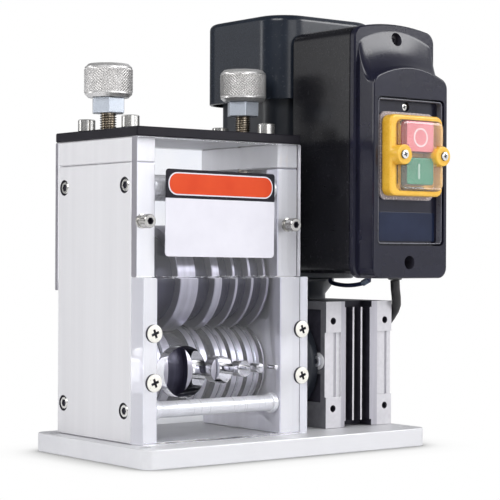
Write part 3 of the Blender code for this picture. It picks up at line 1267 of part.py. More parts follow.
def switch_box_lid():
    """The flange on the box and the raised panel, whose top sweeps down in a cove."""
    flange_outline = rounded_outline(arched_corners(
        LID_FLANGE_WIDTH / 2, LID_PANEL_BOTTOM_Z, BOX_SIDE_TOP_Z, BOX_ARCH_RISE,
        BOX_CORNER_RADIUS))
    flange = slab("lid_flange", flange_outline, LID_FLANGE_FRONT_Y, LID_BACK_Y, "XZ")
    bevel(flange, LID_FLANGE_BEVEL, 1, 60)
    sections = []
    depth = LID_PANEL_HEIGHT - LID_FRONT_ROUND
    for part in LID_COVE_STEPS:
        cove = (1 - max(part, 0.0)) ** 3
        sections.append(lid_section(LID_FLANGE_FRONT_Y - depth * part, 0.0, LID_COVE_RISE * cove))
    sections.append(lid_section(LID_FRONT_Y, LID_FRONT_ROUND, 0.0))
    lid = loft("switch_box_lid", sections, BLACK_PLASTIC)
    boolean(lid, flange, "UNION")
    recess_height = RECESS_TOP_Z - RECESS_BOTTOM_Z
    recess_outline = rectangle(RECESS_WIDTH, recess_height, RECESS_CORNER_RADIUS,
                               (DRIVE_X, (RECESS_TOP_Z + RECESS_BOTTOM_Z) / 2))
    boolean(lid, slab("lid_recess", recess_outline, LID_FRONT_Y - CUT_EXTRA, RECESS_FLOOR_Y, "XZ"))
    back_outline = rectangle(RECESS_WIDTH - 2 * LID_FLOOR, recess_height, RECESS_CORNER_RADIUS,
                             (DRIVE_X, (RECESS_TOP_Z + RECESS_BOTTOM_Z) / 2))
    boolean(lid, slab("lid_back_pocket", back_outline, RECESS_FLOOR_Y + LID_FLOOR,
                      LID_BACK_Y + CUT_EXTRA, "XZ"))
    window_outline = rectangle(CONTACT_WINDOW_WIDTH, SWITCH_WINDOW_HEIGHT, RECESS_CORNER_RADIUS,
                               (DRIVE_X, SWITCH_CENTER_Z))
    boolean(lid, slab("lid_window", window_outline, RECESS_FLOOR_Y - CUT_EXTRA,
                      RECESS_FLOOR_Y + LID_FLOOR + CUT_EXTRA, "XZ"))
    for z, front, back in ((LID_TOP_HOLE_Z, LID_FLANGE_FRONT_Y, LID_BACK_Y),
                           (LID_LOW_HOLE_Z, LID_FRONT_Y, LID_FRONT_Y + 2 * RECESS_DEPTH)):
        cut_rod(lid, "lid_hole", (DRIVE_X, front - CUT_EXTRA, z), (DRIVE_X, back + CUT_EXTRA, z),
                LID_HOLE_RADIUS, SMALL_STEPS)


def switch_gasket():
    outline = rectangle(GASKET_WIDTH, GASKET_HEIGHT, SWITCH_CORNER_RADIUS,
                        (DRIVE_X, SWITCH_CENTER_Z))
    gasket = slab("switch_gasket", outline, GASKET_FRONT_Y, RECESS_FLOOR_Y - SEAT_GAP, "XZ",
                  CLEAR_SILICONE)
    window = rectangle(CONTACT_WINDOW_WIDTH, SWITCH_WINDOW_HEIGHT, SWITCH_CORNER_RADIUS,
                       (DRIVE_X, SWITCH_CENTER_Z))
    boolean(gasket, slab("gasket_window", window, GASKET_FRONT_Y - CUT_EXTRA,
                         RECESS_FLOOR_Y + CUT_EXTRA, "XZ"))


def switch_frame():
    outline = rectangle(SWITCH_WIDTH, SWITCH_HEIGHT, SWITCH_CORNER_RADIUS,
                        (DRIVE_X, SWITCH_CENTER_Z))
    frame = slab("switch_frame", outline, SWITCH_FRONT_Y, SWITCH_BACK_Y, "XZ", YELLOW_PLASTIC)
    bevel(frame, SWITCH_EDGE_BEVEL, 1, 60)
    lugs = []
    for side in SIDES.values():
        outer = DRIVE_X + side * SWITCH_WIDTH / 2
        low_x, high_x = sorted((outer, outer - side * LUG_WIDTH))
        lug = block("switch_lug", (low_x, SWITCH_FRONT_Y - LUG_RISE, SWITCH_CENTER_Z - LUG_HEIGHT / 2),
                    (high_x, SWITCH_BACK_Y - SWITCH_WEB / 2, SWITCH_CENTER_Z + LUG_HEIGHT / 2))
        bevel(lug, LUG_BEVEL)
        lugs.append(lug)
    window = rectangle(SWITCH_WINDOW_WIDTH, SWITCH_WINDOW_HEIGHT, SWITCH_CORNER_RADIUS,
                       (DRIVE_X, SWITCH_CENTER_Z))
    boolean(frame, slab("switch_window", window, SWITCH_FRONT_Y - CUT_EXTRA,
                        SWITCH_BACK_Y - SWITCH_WEB, "XZ"))
    for lug in lugs:
        boolean(frame, lug, "UNION")
    for name, bottom, height in (("stop_guide", STOP_BOTTOM_Z, STOP_HEIGHT),
                                 ("start_guide", START_BOTTOM_Z, START_HEIGHT)):
        guide = rectangle(BUTTON_WIDTH + 2 * FIT_GAP, height + 2 * FIT_GAP, BUTTON_CORNER_RADIUS,
                          (DRIVE_X, bottom + height / 2))
        boolean(frame, slab(name, guide, SWITCH_FRONT_Y - CUT_EXTRA, SWITCH_BACK_Y + CUT_EXTRA,
                            "XZ"))


def button(name, bottom, height, material):
    outline = rectangle(BUTTON_WIDTH, height, BUTTON_CORNER_RADIUS, (DRIVE_X, bottom + height / 2))
    origin = (DRIVE_X, BUTTON_FRONT_Y, bottom + height / 2)
    cap = slab(name, outline, BUTTON_FRONT_Y, BUTTON_BACK_Y, "XZ", material, origin)
    bevel(cap, BUTTON_EDGE_BEVEL, 1, 60)


def switch_boot():
    """The clear boot: a thin cup over both buttons, notched round the two lugs."""
    back = SWITCH_FRONT_Y + SWITCH_DEPTH - SWITCH_WEB - SEAT_GAP
    front = BUTTON_FRONT_Y - BOOT_GAP - BOOT_WALL
    width = SWITCH_WINDOW_WIDTH - 2 * FIT_GAP
    height = SWITCH_WINDOW_HEIGHT - 2 * FIT_GAP
    outline = rectangle(width, height, SWITCH_CORNER_RADIUS, (DRIVE_X, SWITCH_CENTER_Z))
    boot = slab("switch_boot", outline, front, back, "XZ", CLEAR_SILICONE)
    bevel(boot, BOOT_EDGE_BEVEL, 1, 60)
    for side in SIDES.values():
        outer = DRIVE_X + side * SWITCH_WIDTH / 2
        low_x, high_x = sorted((outer, outer - side * (LUG_WIDTH + FIT_GAP)))
        notch = block("boot_notch", (low_x, front - CUT_EXTRA,
                                     SWITCH_CENTER_Z - LUG_HEIGHT / 2 - FIT_GAP),
                      (high_x, back + CUT_EXTRA, SWITCH_CENTER_Z + LUG_HEIGHT / 2 + FIT_GAP))
        boolean(boot, notch)
    wall = BOOT_WALL
    side_reach = SWITCH_WIDTH / 2 - LUG_WIDTH - FIT_GAP - wall
    lug_reach = LUG_HEIGHT / 2 + FIT_GAP + wall
    half_w = width / 2 - wall
    half_h = height / 2 - wall
    for way in (-1, 1):
        low_z, high_z = sorted((SWITCH_CENTER_Z + way * lug_reach, SWITCH_CENTER_Z + way * half_h))
        boolean(boot, block("boot_hollow", (DRIVE_X - half_w, front + wall, low_z),
                            (DRIVE_X + half_w, back + CUT_EXTRA, high_z)))
    boolean(boot, block("boot_waist", (DRIVE_X - side_reach, front + wall, SWITCH_CENTER_Z - half_h),
                        (DRIVE_X + side_reach, back + CUT_EXTRA, SWITCH_CENTER_Z + half_h)))


def adjuster(side_name, side, knob_z):
    """A knurled knob and its lock nut on the screw that bears on the bearing block."""
    x = pocket_middle_x(side)
    axis_point = (x, ROLLER_AXIS_Y, knob_z)
    bore = bore_radius(ADJUSTER_SCREW_RADIUS)
    waist = KNOB_RADIUS - KNOB_CHAMFER
    knob_profile = [
        (0, KNOB_HEIGHT), (waist, KNOB_HEIGHT), (KNOB_RADIUS, KNOB_HEIGHT - KNOB_CHAMFER),
        (KNOB_RADIUS, KNOB_CHAMFER), (waist, 0), (bore, 0), (bore, KNOB_BORE_DEPTH),
        (0, KNOB_BORE_DEPTH),
    ]
    turned(f"{side_name}_knob", knob_profile, axis_point, (0, 0, 1), CHROME, LARGE_STEPS)
    nut_top = knob_z - SEAT_GAP
    nut_radius = LOCK_NUT_FLATS / sqrt(3)
    nut = rod(f"{side_name}_lock_nut", (x, ROLLER_AXIS_Y, nut_top - LOCK_NUT_HEIGHT),
              (x, ROLLER_AXIS_Y, nut_top), nut_radius, CHROME, 6)
    bevel(nut, LOCK_NUT_BEVEL, 1, 80)
    cut_rod(nut, f"{side_name}_nut_bore",
            (x, ROLLER_AXIS_Y, nut_top - LOCK_NUT_HEIGHT - CUT_EXTRA),
            (x, ROLLER_AXIS_Y, nut_top + CUT_EXTRA), bore)
    rod(f"{side_name}_adjusting_screw", (x, ROLLER_AXIS_Y, BLOCK_TOP_Z + SEAT_GAP),
        (x, ROLLER_AXIS_Y, knob_z + KNOB_BORE_DEPTH - SEAT_GAP), ADJUSTER_SCREW_RADIUS, CHROME,
        MEDIUM_STEPS)


def cable_gland():
    """A tapered strain relief through the box's underside."""
    top = GLAND_LENGTH - GLAND_PROUD
    bore = bore_radius(CORD_RADIUS)
    profile = [
        (bore, top), (GLAND_TIP_RADIUS, top), (GLAND_TIP_RADIUS, -SEAT_GAP),
        (GLAND_RADIUS, -SEAT_GAP), (GLAND_TIP_RADIUS, -GLAND_PROUD), (bore, -GLAND_PROUD),
    ]
    turned("cable_gland", profile, (GLAND_X, GLAND_Y, BOX_BOTTOM_Z), (0, 0, 1), BLACK_RUBBER,
           MEDIUM_STEPS, closed=True)


def cords():
    cord_tube("power_cord", CORD_ROUTE, CORD_RADIUS, 5 * CORD_RADIUS, BLACK_RUBBER)
    cord_tube("motor_lead", LEAD_ROUTE, LEAD_RADIUS, 3 * LEAD_RADIUS, BLUE_LEAD)
    profile = ring_profile(COIL_RADIUS - CORD_RADIUS, COIL_RADIUS + CORD_RADIUS, COIL_BOTTOM_Z,
                           COIL_TOP_Z, CORD_RADIUS / 2)
    turned("cord_coil", profile, (COIL_CENTER_X, COIL_CENTER_Y, 0), (0, 0, 1), BLACK_RUBBER,
           LARGE_STEPS, closed=True)


def power_plug():
    """A moulded plug that lies across the coil, with its blades towards the back."""
    low = COIL_TOP_Z + SEAT_GAP
    x = COIL_CENTER_X + COIL_RADIUS - 2 * CORD_RADIUS
    tail = COIL_CENTER_Y + PLUG_SETBACK - PLUG_LENGTH / 2
    face = tail + PLUG_LENGTH
    shoulder = tail + PLUG_SHOULDER_LENGTH
    outline = rounded_outline([
        (x - PLUG_TAIL_WIDTH / 2, tail, PLUG_CORNER_RADIUS),
        (x + PLUG_TAIL_WIDTH / 2, tail, PLUG_CORNER_RADIUS),
        (x + PLUG_WIDTH / 2, shoulder, PLUG_SHOULDER_RADIUS),
        (x + PLUG_WIDTH / 2, face, PLUG_CORNER_RADIUS),
        (x - PLUG_WIDTH / 2, face, PLUG_CORNER_RADIUS),
        (x - PLUG_WIDTH / 2, shoulder, PLUG_SHOULDER_RADIUS),
    ])
    plug = slab("power_plug", outline, low, low + PLUG_HEIGHT, "XY", BLACK_RUBBER)
    bevel(plug, PLUG_EDGE_BEVEL, 1, 60)
    middle = low + PLUG_HEIGHT / 2
    relief = turned("plug_relief", [
        (0, PLUG_RELIEF_LENGTH), (CORD_RADIUS + PLUG_RELIEF_TIP_WALL, PLUG_RELIEF_LENGTH),
        (CORD_RADIUS + PLUG_RELIEF_ROOT_WALL, -CUT_EXTRA), (0, -CUT_EXTRA),
    ], (x, tail, middle), (0, -1, 0), steps=SMALL_STEPS)
    boolean(plug, relief, "UNION")
    blade_low = middle + PLUG_BLADE_LIFT
    for side in SIDES.values():
        pin_x = x + side * PLUG_BLADE_SPACING / 2
        blade = block("plug_blade", (pin_x - PLUG_BLADE_THICKNESS / 2, face - CUT_EXTRA, blade_low),
                      (pin_x + PLUG_BLADE_THICKNESS / 2, face + PLUG_BLADE_LENGTH,
                       blade_low + PLUG_BLADE_WIDTH))
        boolean(plug, blade, "UNION")
    ground_z = middle - PLUG_GROUND_DROP
    ground = rod("plug_ground_pin", (x, face - CUT_EXTRA, ground_z),
                 (x, face + PLUG_BLADE_LENGTH, ground_z), PLUG_GROUND_RADIUS, steps=SMALL_STEPS)
    boolean(plug, ground, "UNION")


def build_head():
    base_plate()
    for side_name, side in SIDES.items():
        side_plate(f"{side_name}_side_plate", side)
        cap_bar(f"{side_name}_cap_bar", side)
        for row_name, y in zip(("front", "rear"), cap_screw_rows()):
            cap_screw(f"{side_name}_{row_name}_cap_screw", side, y)
        bearing(f"lower_{side_name}_bearing", side, LOWER_AXIS_Z)
        bearing(f"upper_{side_name}_bearing", side, UPPER_AXIS_Z)
        bearing_block(f"{side_name}_bearing_block", side)
    top_plate()
    tie_rods()
    front_guide_block()
    upper_front_cover()
    rear_cover()
    upper_roller()
    lower_roller()
    lower_shaft()
    blades()
    adjuster("left", SIDES["left"], LEFT_KNOB_Z)
    adjuster("right", SIDES["right"], LEFT_KNOB_Z + RIGHT_KNOB_LIFT)


def build_drive():
    shaft_coupling()
    gearbox_housing()
    output_flange()
    gearbox_side_cover()
    worm_wheel()
    motor_rotor()
    motor_adapter()
    motor_body()
    cooling_fan()
    fan_cover()


def build_switch():
    switch_box()
    switch_box_lid()
    switch_gasket()
    switch_frame()
    button("stop_button", STOP_BOTTOM_Z, STOP_HEIGHT, RED_PLASTIC)
    button("start_button", START_BOTTOM_Z, START_HEIGHT, GREEN_PLASTIC)
    switch_boot()
    cable_gland()
    cords()
    power_plug()


build_head()
build_drive()
build_switch()
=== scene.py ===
"""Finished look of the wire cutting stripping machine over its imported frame."""

from math import atan2, cos, pi, radians, sin, sqrt, tan

import bmesh
import bpy
from mathutils import Matrix, Vector


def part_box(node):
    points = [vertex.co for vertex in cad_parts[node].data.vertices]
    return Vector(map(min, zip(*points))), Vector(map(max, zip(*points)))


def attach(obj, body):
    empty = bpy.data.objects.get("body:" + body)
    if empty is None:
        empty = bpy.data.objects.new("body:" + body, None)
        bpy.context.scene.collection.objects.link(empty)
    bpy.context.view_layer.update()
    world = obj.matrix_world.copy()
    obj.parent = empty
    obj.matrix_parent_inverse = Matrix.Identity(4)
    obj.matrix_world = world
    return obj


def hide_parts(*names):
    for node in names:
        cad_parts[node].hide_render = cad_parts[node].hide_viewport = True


MM = 0.001
DRIVE_X = 93.8
HEAD_X = -47.5
AXIS_Y = 10.0
LOWER_Z = 63.5
UPPER_Z = 130.5
SWITCH_Z = 223.5
MOTOR_Y = 50.0
TO_FRONT = (0, -1, 0)
ALONG_X = (1, 0, 0)
UPWARD = (0, 0, 1)
SIDES = {"left": -1, "right": 1}
KNOB_X = {"left": -110.0, "right": 15.0}

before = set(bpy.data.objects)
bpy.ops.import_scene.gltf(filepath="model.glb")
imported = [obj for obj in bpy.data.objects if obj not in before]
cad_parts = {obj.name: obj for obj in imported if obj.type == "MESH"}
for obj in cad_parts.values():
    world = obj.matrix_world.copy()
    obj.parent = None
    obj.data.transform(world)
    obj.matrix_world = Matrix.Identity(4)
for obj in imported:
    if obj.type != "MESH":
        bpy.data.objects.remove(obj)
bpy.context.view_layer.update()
SCENE = bpy.context.scene


# Camera

CAMERA_YAW = radians(38.17)
CAMERA_PITCH = radians(0.09)
CAMERA_ROLL = radians(0.267)
CAMERA_PLACE = (-0.7919, -1.0261, 0.1499)
CAMERA_LENS = 121.55


def add_camera():
    ahead = Vector((sin(CAMERA_YAW) * cos(CAMERA_PITCH), cos(CAMERA_YAW) * cos(CAMERA_PITCH),
        sin(CAMERA_PITCH)))
    level = Vector((cos(CAMERA_YAW), -sin(CAMERA_YAW), 0))
    upright = level.cross(ahead)
    right = level * cos(CAMERA_ROLL) + upright * sin(CAMERA_ROLL)
    top = upright * cos(CAMERA_ROLL) - level * sin(CAMERA_ROLL)
    data = bpy.data.cameras.new("camera")
    data.lens = CAMERA_LENS
    data.sensor_width = 36.0
    data.clip_start = 0.05
    camera = bpy.data.objects.new("camera", data)
    turn = Matrix((right, top, -ahead)).transposed().to_4x4()
    camera.matrix_world = Matrix.Translation(CAMERA_PLACE) @ turn
    SCENE.collection.objects.link(camera)
    SCENE.camera = camera


# Materials

def shader_tree(name):
    material = bpy.data.materials.new(name)
    material.use_nodes = True
    tree = material.node_tree
    return material, tree, tree.nodes["Principled BSDF"]


def add_node(tree, kind, values=None, links=None, **options):
    """A shader node with its options, its input values and the outputs that feed it."""
    node = tree.nodes.new(f"ShaderNode{kind}")
    for key, value in options.items():
        setattr(node, key, value)
    for key, value in (values or {}).items():
        node.inputs[key].default_value = value
    for key, source in (links or {}).items():
        tree.links.new(source, node.inputs[key])
    return node


def grain_noise(tree, scale, stretch, detail=4.0):
    """Noise in the part's own frame, stretched along a brushing direction."""
    place = add_node(tree, "TexCoord")
    mapping = add_node(tree, "Mapping", {"Scale": stretch}, {"Vector": place.outputs["Object"]})
    noise = add_node(tree, "TexNoise", {"Scale": scale, "Detail": detail},
        {"Vector": mapping.outputs["Vector"]})
    return noise.outputs["Fac"]


def ranged(tree, value, low, high, start=0.3, end=0.7):
    values = {"From Min": start, "From Max": end, "To Min": low, "To Max": high}
    return add_node(tree, "MapRange", values, {"Value": value}).outputs["Result"]


def mixed(tree, factor, first, second):
    colors = {6: (*first, 1), 7: (*second, 1)}
    return add_node(tree, "Mix", colors, {0: factor}, data_type="RGBA").outputs[2]


EVEN = (1, 1, 1)
RINGS_X = (1.0, 0.02, 0.02)
BRUSH_Z = (1.0, 1.0, 0.03)
BRUSH_X = (0.03, 1.0, 1.0)
CAST_GRAIN = (160, EVEN, 1100, 0.04, 0.3)
NICKEL_GRAIN = (180, EVEN, 1500, 0.01, 0.15)
TURNED_GRAIN = (300, RINGS_X, 2200, 0.01, 0.15)
GLOSS_GRAIN = (40, EVEN, 500, 0.01, 0.08)
PLASTIC_GRAIN = (120, EVEN, 900, 0.01, 0.15)
FACE_GRAIN = (40, EVEN, 900, 0.01, 0.15)
SIGN_GRAIN = (60, EVEN, 900, 0.01, 0.1)


def surface(name, dark, light, rough, metal, grain, coat=0.0, clear=0.0, ior=1.5, spec=0.5,
        crease_shade=None):
    """A finish whose colour, roughness and relief all vary with its own grain.

    The grain says: broad scale, stretch, fine scale, depth in millimetres and strength."""
    scale, stretch, fine, depth, strength = grain
    material, tree, shader = shader_tree(name)
    for key, value in (("Metallic", metal), ("Coat Weight", coat), ("Coat Roughness", 0.08),
            ("Specular IOR Level", spec), ("Transmission Weight", clear), ("IOR", ior)):
        shader.inputs[key].default_value = value
    broad = grain_noise(tree, scale, stretch)
    tight = grain_noise(tree, fine, stretch, 2.0)
    tone = mixed(tree, ranged(tree, broad, 0.0, 1.0), dark, light)
    # crease_shade mixes its darker colour into the hollows found by pointiness: painted shade in
    # creases.
    if crease_shade:
        shape = add_node(tree, "NewGeometry")
        crest = ranged(tree, shape.outputs["Pointiness"], 0.0, 1.0, 0.42, 0.52)
        raised = mixed(tree, crest, crease_shade, light)
        tree.links.new(tone, raised.node.inputs[7])
        tone = raised
    relief = add_node(tree, "Bump", {"Strength": strength, "Distance": depth * MM},
        {"Height": tight})
    tree.links.new(tone, shader.inputs["Base Color"])
    tree.links.new(ranged(tree, tight, *rough), shader.inputs["Roughness"])
    tree.links.new(relief.outputs["Normal"], shader.inputs["Normal"])
    return material


BASE_METAL = surface("base_metal", (0.66, 0.66, 0.685), (0.71, 0.71, 0.73), (0.34, 0.5), 0.3,
    (50, BRUSH_X, 900, 0.01, 0.1))
PLATE_METAL = surface("plate_metal", (0.67, 0.665, 0.685), (0.71, 0.705, 0.725), (0.4, 0.52), 0.3,
    (120, BRUSH_Z, 1400, 0.01, 0.12))
# Darker, bluer copy of the plate metal for the plates' inward faces: painted shade.
PLATE_INNER_SHADE = surface("plate_inner_shade", (0.56, 0.55, 0.62), (0.64, 0.63, 0.70), (0.3, 0.42), 0.6,
    (120, BRUSH_Z, 1400, 0.008, 0.1))
BLOCK_METAL = surface("block_metal", (0.50, 0.51, 0.54), (0.64, 0.65, 0.69), (0.28, 0.45), 0.9,
    (100, BRUSH_Z, 1200, 0.03, 0.3))
CAST_BRIGHT = surface("cast_bright", (0.58, 0.57, 0.60), (0.64, 0.63, 0.66), (0.4, 0.55), 0.2,
    (300, EVEN, 1600, 0.02, 0.2))
# A darker copy of the bright cast metal, for the slanted flanks and the pad grooves: painted shade.
CAST_SHADE = surface("cast_shade", (0.40, 0.39, 0.43), (0.50, 0.49, 0.54), (0.4, 0.55), 0.4,
    (220, BRUSH_Z, 1600, 0.02, 0.2))
CAST_DARK = surface("cast_dark", (0.06, 0.062, 0.078), (0.085, 0.087, 0.105), (0.4, 0.55), 0.2,
    CAST_GRAIN)
# A lighter copy of the cast dark paint for the side facing -X: painted light.
CAST_LIT_SIDE = surface("cast_lit_side", (0.10, 0.10, 0.112), (0.14, 0.14, 0.155), (0.4, 0.55), 0.2,
    (160, EVEN, 1100, 0.02, 0.2))
# Near-black painted shade, set in holes, sockets, counterbores, recesses, undercuts, fin gaps and
# screw sides.
HOLLOW_SHADE = surface("hollow_painted_shade", (0.020, 0.019, 0.028), (0.034, 0.032, 0.045), (0.5, 0.65), 0.0,
    CAST_GRAIN, spec=0.3)
BRIGHT_NICKEL = surface("nickel", (0.72, 0.71, 0.68), (0.84, 0.83, 0.80), (0.16, 0.28), 0.85,
    NICKEL_GRAIN)
HEAD_NICKEL = surface("head_nickel", (0.78, 0.76, 0.70), (0.86, 0.84, 0.78), (0.26, 0.38), 0.35,
    NICKEL_GRAIN)
# The knurl's valleys are darkened as painted shade.
KNURL_NICKEL = surface("knurl_nickel", (0.70, 0.69, 0.68), (0.84, 0.83, 0.82), (0.26, 0.38), 0.7,
    NICKEL_GRAIN, crease_shade=(0.10, 0.09, 0.09))
COVER_NICKEL = surface("cover_nickel", (0.44, 0.43, 0.41), (0.58, 0.57, 0.55), (0.16, 0.28), 0.9,
    NICKEL_GRAIN)
NUT_NICKEL = surface("nut_nickel", (0.56, 0.61, 0.69), (0.63, 0.68, 0.75), (0.26, 0.36), 0.4,
    (60, EVEN, 1500, 0.004, 0.1))
# The thread's roots are darkened as painted shade.
SCREW_BRONZE = surface("screw_metal", (0.42, 0.36, 0.28), (0.62, 0.55, 0.45), (0.2, 0.34), 0.95,
    (240, EVEN, 1500, 0.01, 0.2), crease_shade=(0.03, 0.022, 0.016))
ROD_METAL = surface("rod_metal", (0.68, 0.68, 0.70), (0.74, 0.74, 0.76), (0.26, 0.36), 0.45,
    (60, RINGS_X, 1500, 0.004, 0.1))
ROLLER_BRIGHT = surface("roller_bright", (0.34, 0.33, 0.38), (0.44, 0.43, 0.49), (0.3, 0.44), 0.85,
    TURNED_GRAIN)
# Near-black steel: painted shade and dark reflection in the rollers' grooves, and the hidden
# rotor's dark steel.
DARK_STEEL_AND_SHADE = surface("dark_steel_and_shade", (0.022, 0.021, 0.040), (0.042, 0.040, 0.068), (0.3, 0.46), 0.4,
    TURNED_GRAIN)
BLADE_METAL = surface("blade_metal", (0.66, 0.68, 0.72), (0.84, 0.86, 0.9), (0.12, 0.24), 0.95,
    (200, EVEN, 1500, 0.01, 0.15))
WORM_METAL = surface("worm_metal", (0.5, 0.32, 0.12), (0.68, 0.47, 0.2), (0.25, 0.4), 1.0,
    (200, EVEN, 1500, 0.02, 0.3))
TOP_PAINT = surface("top_paint", (0.010, 0.009, 0.013), (0.014, 0.013, 0.018), (0.34, 0.46), 0.0,
    (60, EVEN, 1800, 0.01, 0.15), spec=0.16)
BLACK_PAINT = surface("black_paint", (0.014, 0.017, 0.024), (0.020, 0.024, 0.033), (0.3, 0.4), 0.0,
    (40, EVEN, 700, 0.01, 0.1), coat=0.1)
BLACK_GLOSS = surface("black_gloss", (0.011, 0.015, 0.024), (0.015, 0.020, 0.030), (0.2, 0.28), 0.0,
    GLOSS_GRAIN, coat=0.1, spec=0.4)
BOX_BLACK = surface("box_black", (0.006, 0.006, 0.008), (0.009, 0.009, 0.012), (0.2, 0.28), 0.0,
    GLOSS_GRAIN, spec=0.45)
LID_GLOSS = surface("lid_gloss", (0.010, 0.010, 0.020), (0.013, 0.013, 0.026), (0.16, 0.23), 0.0,
    GLOSS_GRAIN, spec=0.42)
# Lighter grey for the recess bead, a painted highlight along its rim.
BEAD_HIGHLIGHT = surface("bead_painted_highlight", (0.10, 0.10, 0.12), (0.14, 0.14, 0.17), (0.25, 0.35), 0.0,
    GLOSS_GRAIN)
BLANK_LABEL = surface("blank_label", (0.008, 0.013, 0.036), (0.013, 0.020, 0.050), (0.12, 0.2), 0.0,
    (50, EVEN, 600, 0.01, 0.1), spec=0.3)
RUBBER = surface("rubber", (0.014, 0.014, 0.015), (0.028, 0.027, 0.029), (0.42, 0.6), 0.0,
    (160, EVEN, 1300, 0.05, 0.5))
LEAD_BLUE = surface("lead_blue", (0.012, 0.016, 0.06), (0.03, 0.04, 0.12), (0.28, 0.42), 0.0,
    (160, EVEN, 1300, 0.03, 0.4))
LEAD_SLEEVE = surface("lead_sleeve", (0.35, 0.46, 0.62), (0.5, 0.6, 0.75), (0.1, 0.2), 0.0,
    (160, EVEN, 900, 0.01, 0.1), clear=0.6)
YELLOW = surface("yellow_plastic", (0.74, 0.40, 0.035), (0.84, 0.50, 0.06), (0.24, 0.36), 0.0,
    PLASTIC_GRAIN, coat=0.1)
# Keys: darker copies for the sides as painted shade, lighter copies for the fronts as painted
# light, the red front pinker as a painted sheen.
RED_SHADED_SIDES = surface("red_plastic", (0.22, 0.008, 0.006), (0.30, 0.016, 0.012), (0.22, 0.34), 0.0,
    PLASTIC_GRAIN, coat=0.1)
RED_LIT_FACE = surface("red_lit_face", (0.66, 0.16, 0.18), (0.74, 0.24, 0.27), (0.22, 0.34), 0.0,
    FACE_GRAIN, coat=0.1)
GREEN_SHADED_SIDES = surface("green_plastic", (0.020, 0.050, 0.030), (0.03, 0.07, 0.045), (0.22, 0.34), 0.0,
    PLASTIC_GRAIN, coat=0.1)
GREEN_LIT_FACE = surface("green_lit_face", (0.012, 0.18, 0.09), (0.02, 0.24, 0.125), (0.22, 0.34), 0.0,
    FACE_GRAIN, coat=0.1)
MARK_PINK = surface("mark_pink", (0.78, 0.56, 0.57), (0.86, 0.64, 0.65), (0.3, 0.45), 0.0,
    PLASTIC_GRAIN)
MARK_GREEN = surface("mark_green", (0.30, 0.46, 0.38), (0.38, 0.54, 0.46), (0.3, 0.45), 0.0,
    PLASTIC_GRAIN)
ACRYLIC = surface("acrylic", (0.95, 0.96, 1.0), (0.98, 0.985, 1.0), (0.0, 0.012), 0.0,
    (30, EVEN, 60, 0.004, 0.05), clear=1.0, ior=1.49)
ACRYLIC_EDGE = surface("acrylic_edge", (0.50, 0.49, 0.54), (0.62, 0.60, 0.66), (0.1, 0.18), 0.0,
    (40, BRUSH_Z, 900, 0.004, 0.05), clear=0.55, ior=1.49)
GUIDE_EDGE = surface("guide_edge", (0.82, 0.82, 0.90), (0.90, 0.90, 0.97), (0.08, 0.16), 0.0,
    (30, BRUSH_Z, 900, 0.004, 0.05), clear=0.4, ior=1.49)
SILICONE = surface("silicone", (0.93, 0.90, 0.90), (0.98, 0.95, 0.95), (0.05, 0.12), 0.0,
    (60, EVEN, 500, 0.05, 0.2), coat=0.3, clear=0.96, ior=1.35)
GASKET = surface("gasket", (0.50, 0.43, 0.44), (0.60, 0.53, 0.54), (0.2, 0.32), 0.0,
    (60, EVEN, 700, 0.004, 0.1), coat=0.1, clear=0.4, ior=1.4)
SIGN_WHITE = surface("sign_white", (0.68, 0.67, 0.73), (0.72, 0.71, 0.77), (0.4, 0.5), 0.0,
    SIGN_GRAIN, spec=0.3)
SIGN_BLACK = surface("sign_black", (0.010, 0.009, 0.014), (0.014, 0.013, 0.019), (0.4, 0.5), 0.0,
    SIGN_GRAIN, spec=0.15)
SIGN_ORANGE = surface("sign_orange", (0.60, 0.052, 0.010), (0.65, 0.068, 0.014), (0.4, 0.5), 0.0,
    SIGN_GRAIN, spec=0.2)


# Mesh tools, all in millimetres in the part's frame

def add_mesh(name, shape, *materials, angle=38):
    shape.transform(Matrix.Scale(MM, 4))
    bmesh.ops.recalc_face_normals(shape, faces=shape.faces)
    mesh = bpy.data.meshes.new(name)
    shape.to_mesh(mesh)
    shape.free()
    for material in materials:
        mesh.materials.append(material)
    obj = bpy.data.objects.new(name, mesh)
    SCENE.collection.objects.link(obj)
    shade(obj, angle)
    return obj


def shade(obj, angle=38):
    obj.data.shade_smooth()
    obj.data.set_sharp_from_angle(angle=radians(angle))


def apply_modifiers(obj):
    bpy.context.view_layer.update()
    graph = bpy.context.evaluated_depsgraph_get()
    mesh = bpy.data.meshes.new_from_object(obj.evaluated_get(graph))
    old = obj.data
    obj.modifiers.clear()
    obj.data = mesh
    bpy.data.meshes.remove(old)


def boolean(obj, *tools, operation="DIFFERENCE"):
    for tool in tools:
        step = obj.modifiers.new("cut", "BOOLEAN")
        step.operation = operation
        step.solver = "EXACT"
        step.material_mode = "TRANSFER"
        step.object = tool
        apply_modifiers(obj)
        bpy.data.objects.remove(tool, do_unlink=True)


def cut(obj, outline, low, high, plane, material):
    boolean(obj, prism("cut", outline, low, high, plane, material))


def cut_box(obj, low, high, material):
    boolean(obj, box("cut", low, high, material))


def bevel(obj, width, segments=2, angle=40):
    """Round the edges, and keep the flats between them flat."""
    step = obj.modifiers.new("edge", "BEVEL")
    step.width = width * MM
    step.segments = segments
    step.limit_method = "ANGLE"
    step.angle_limit = radians(angle)
    step.harden_normals = False
    apply_modifiers(obj)
    settle(obj, angle)


def facing(axis):
    return Vector(axis).to_track_quat("Z", "Y").to_matrix().to_4x4()


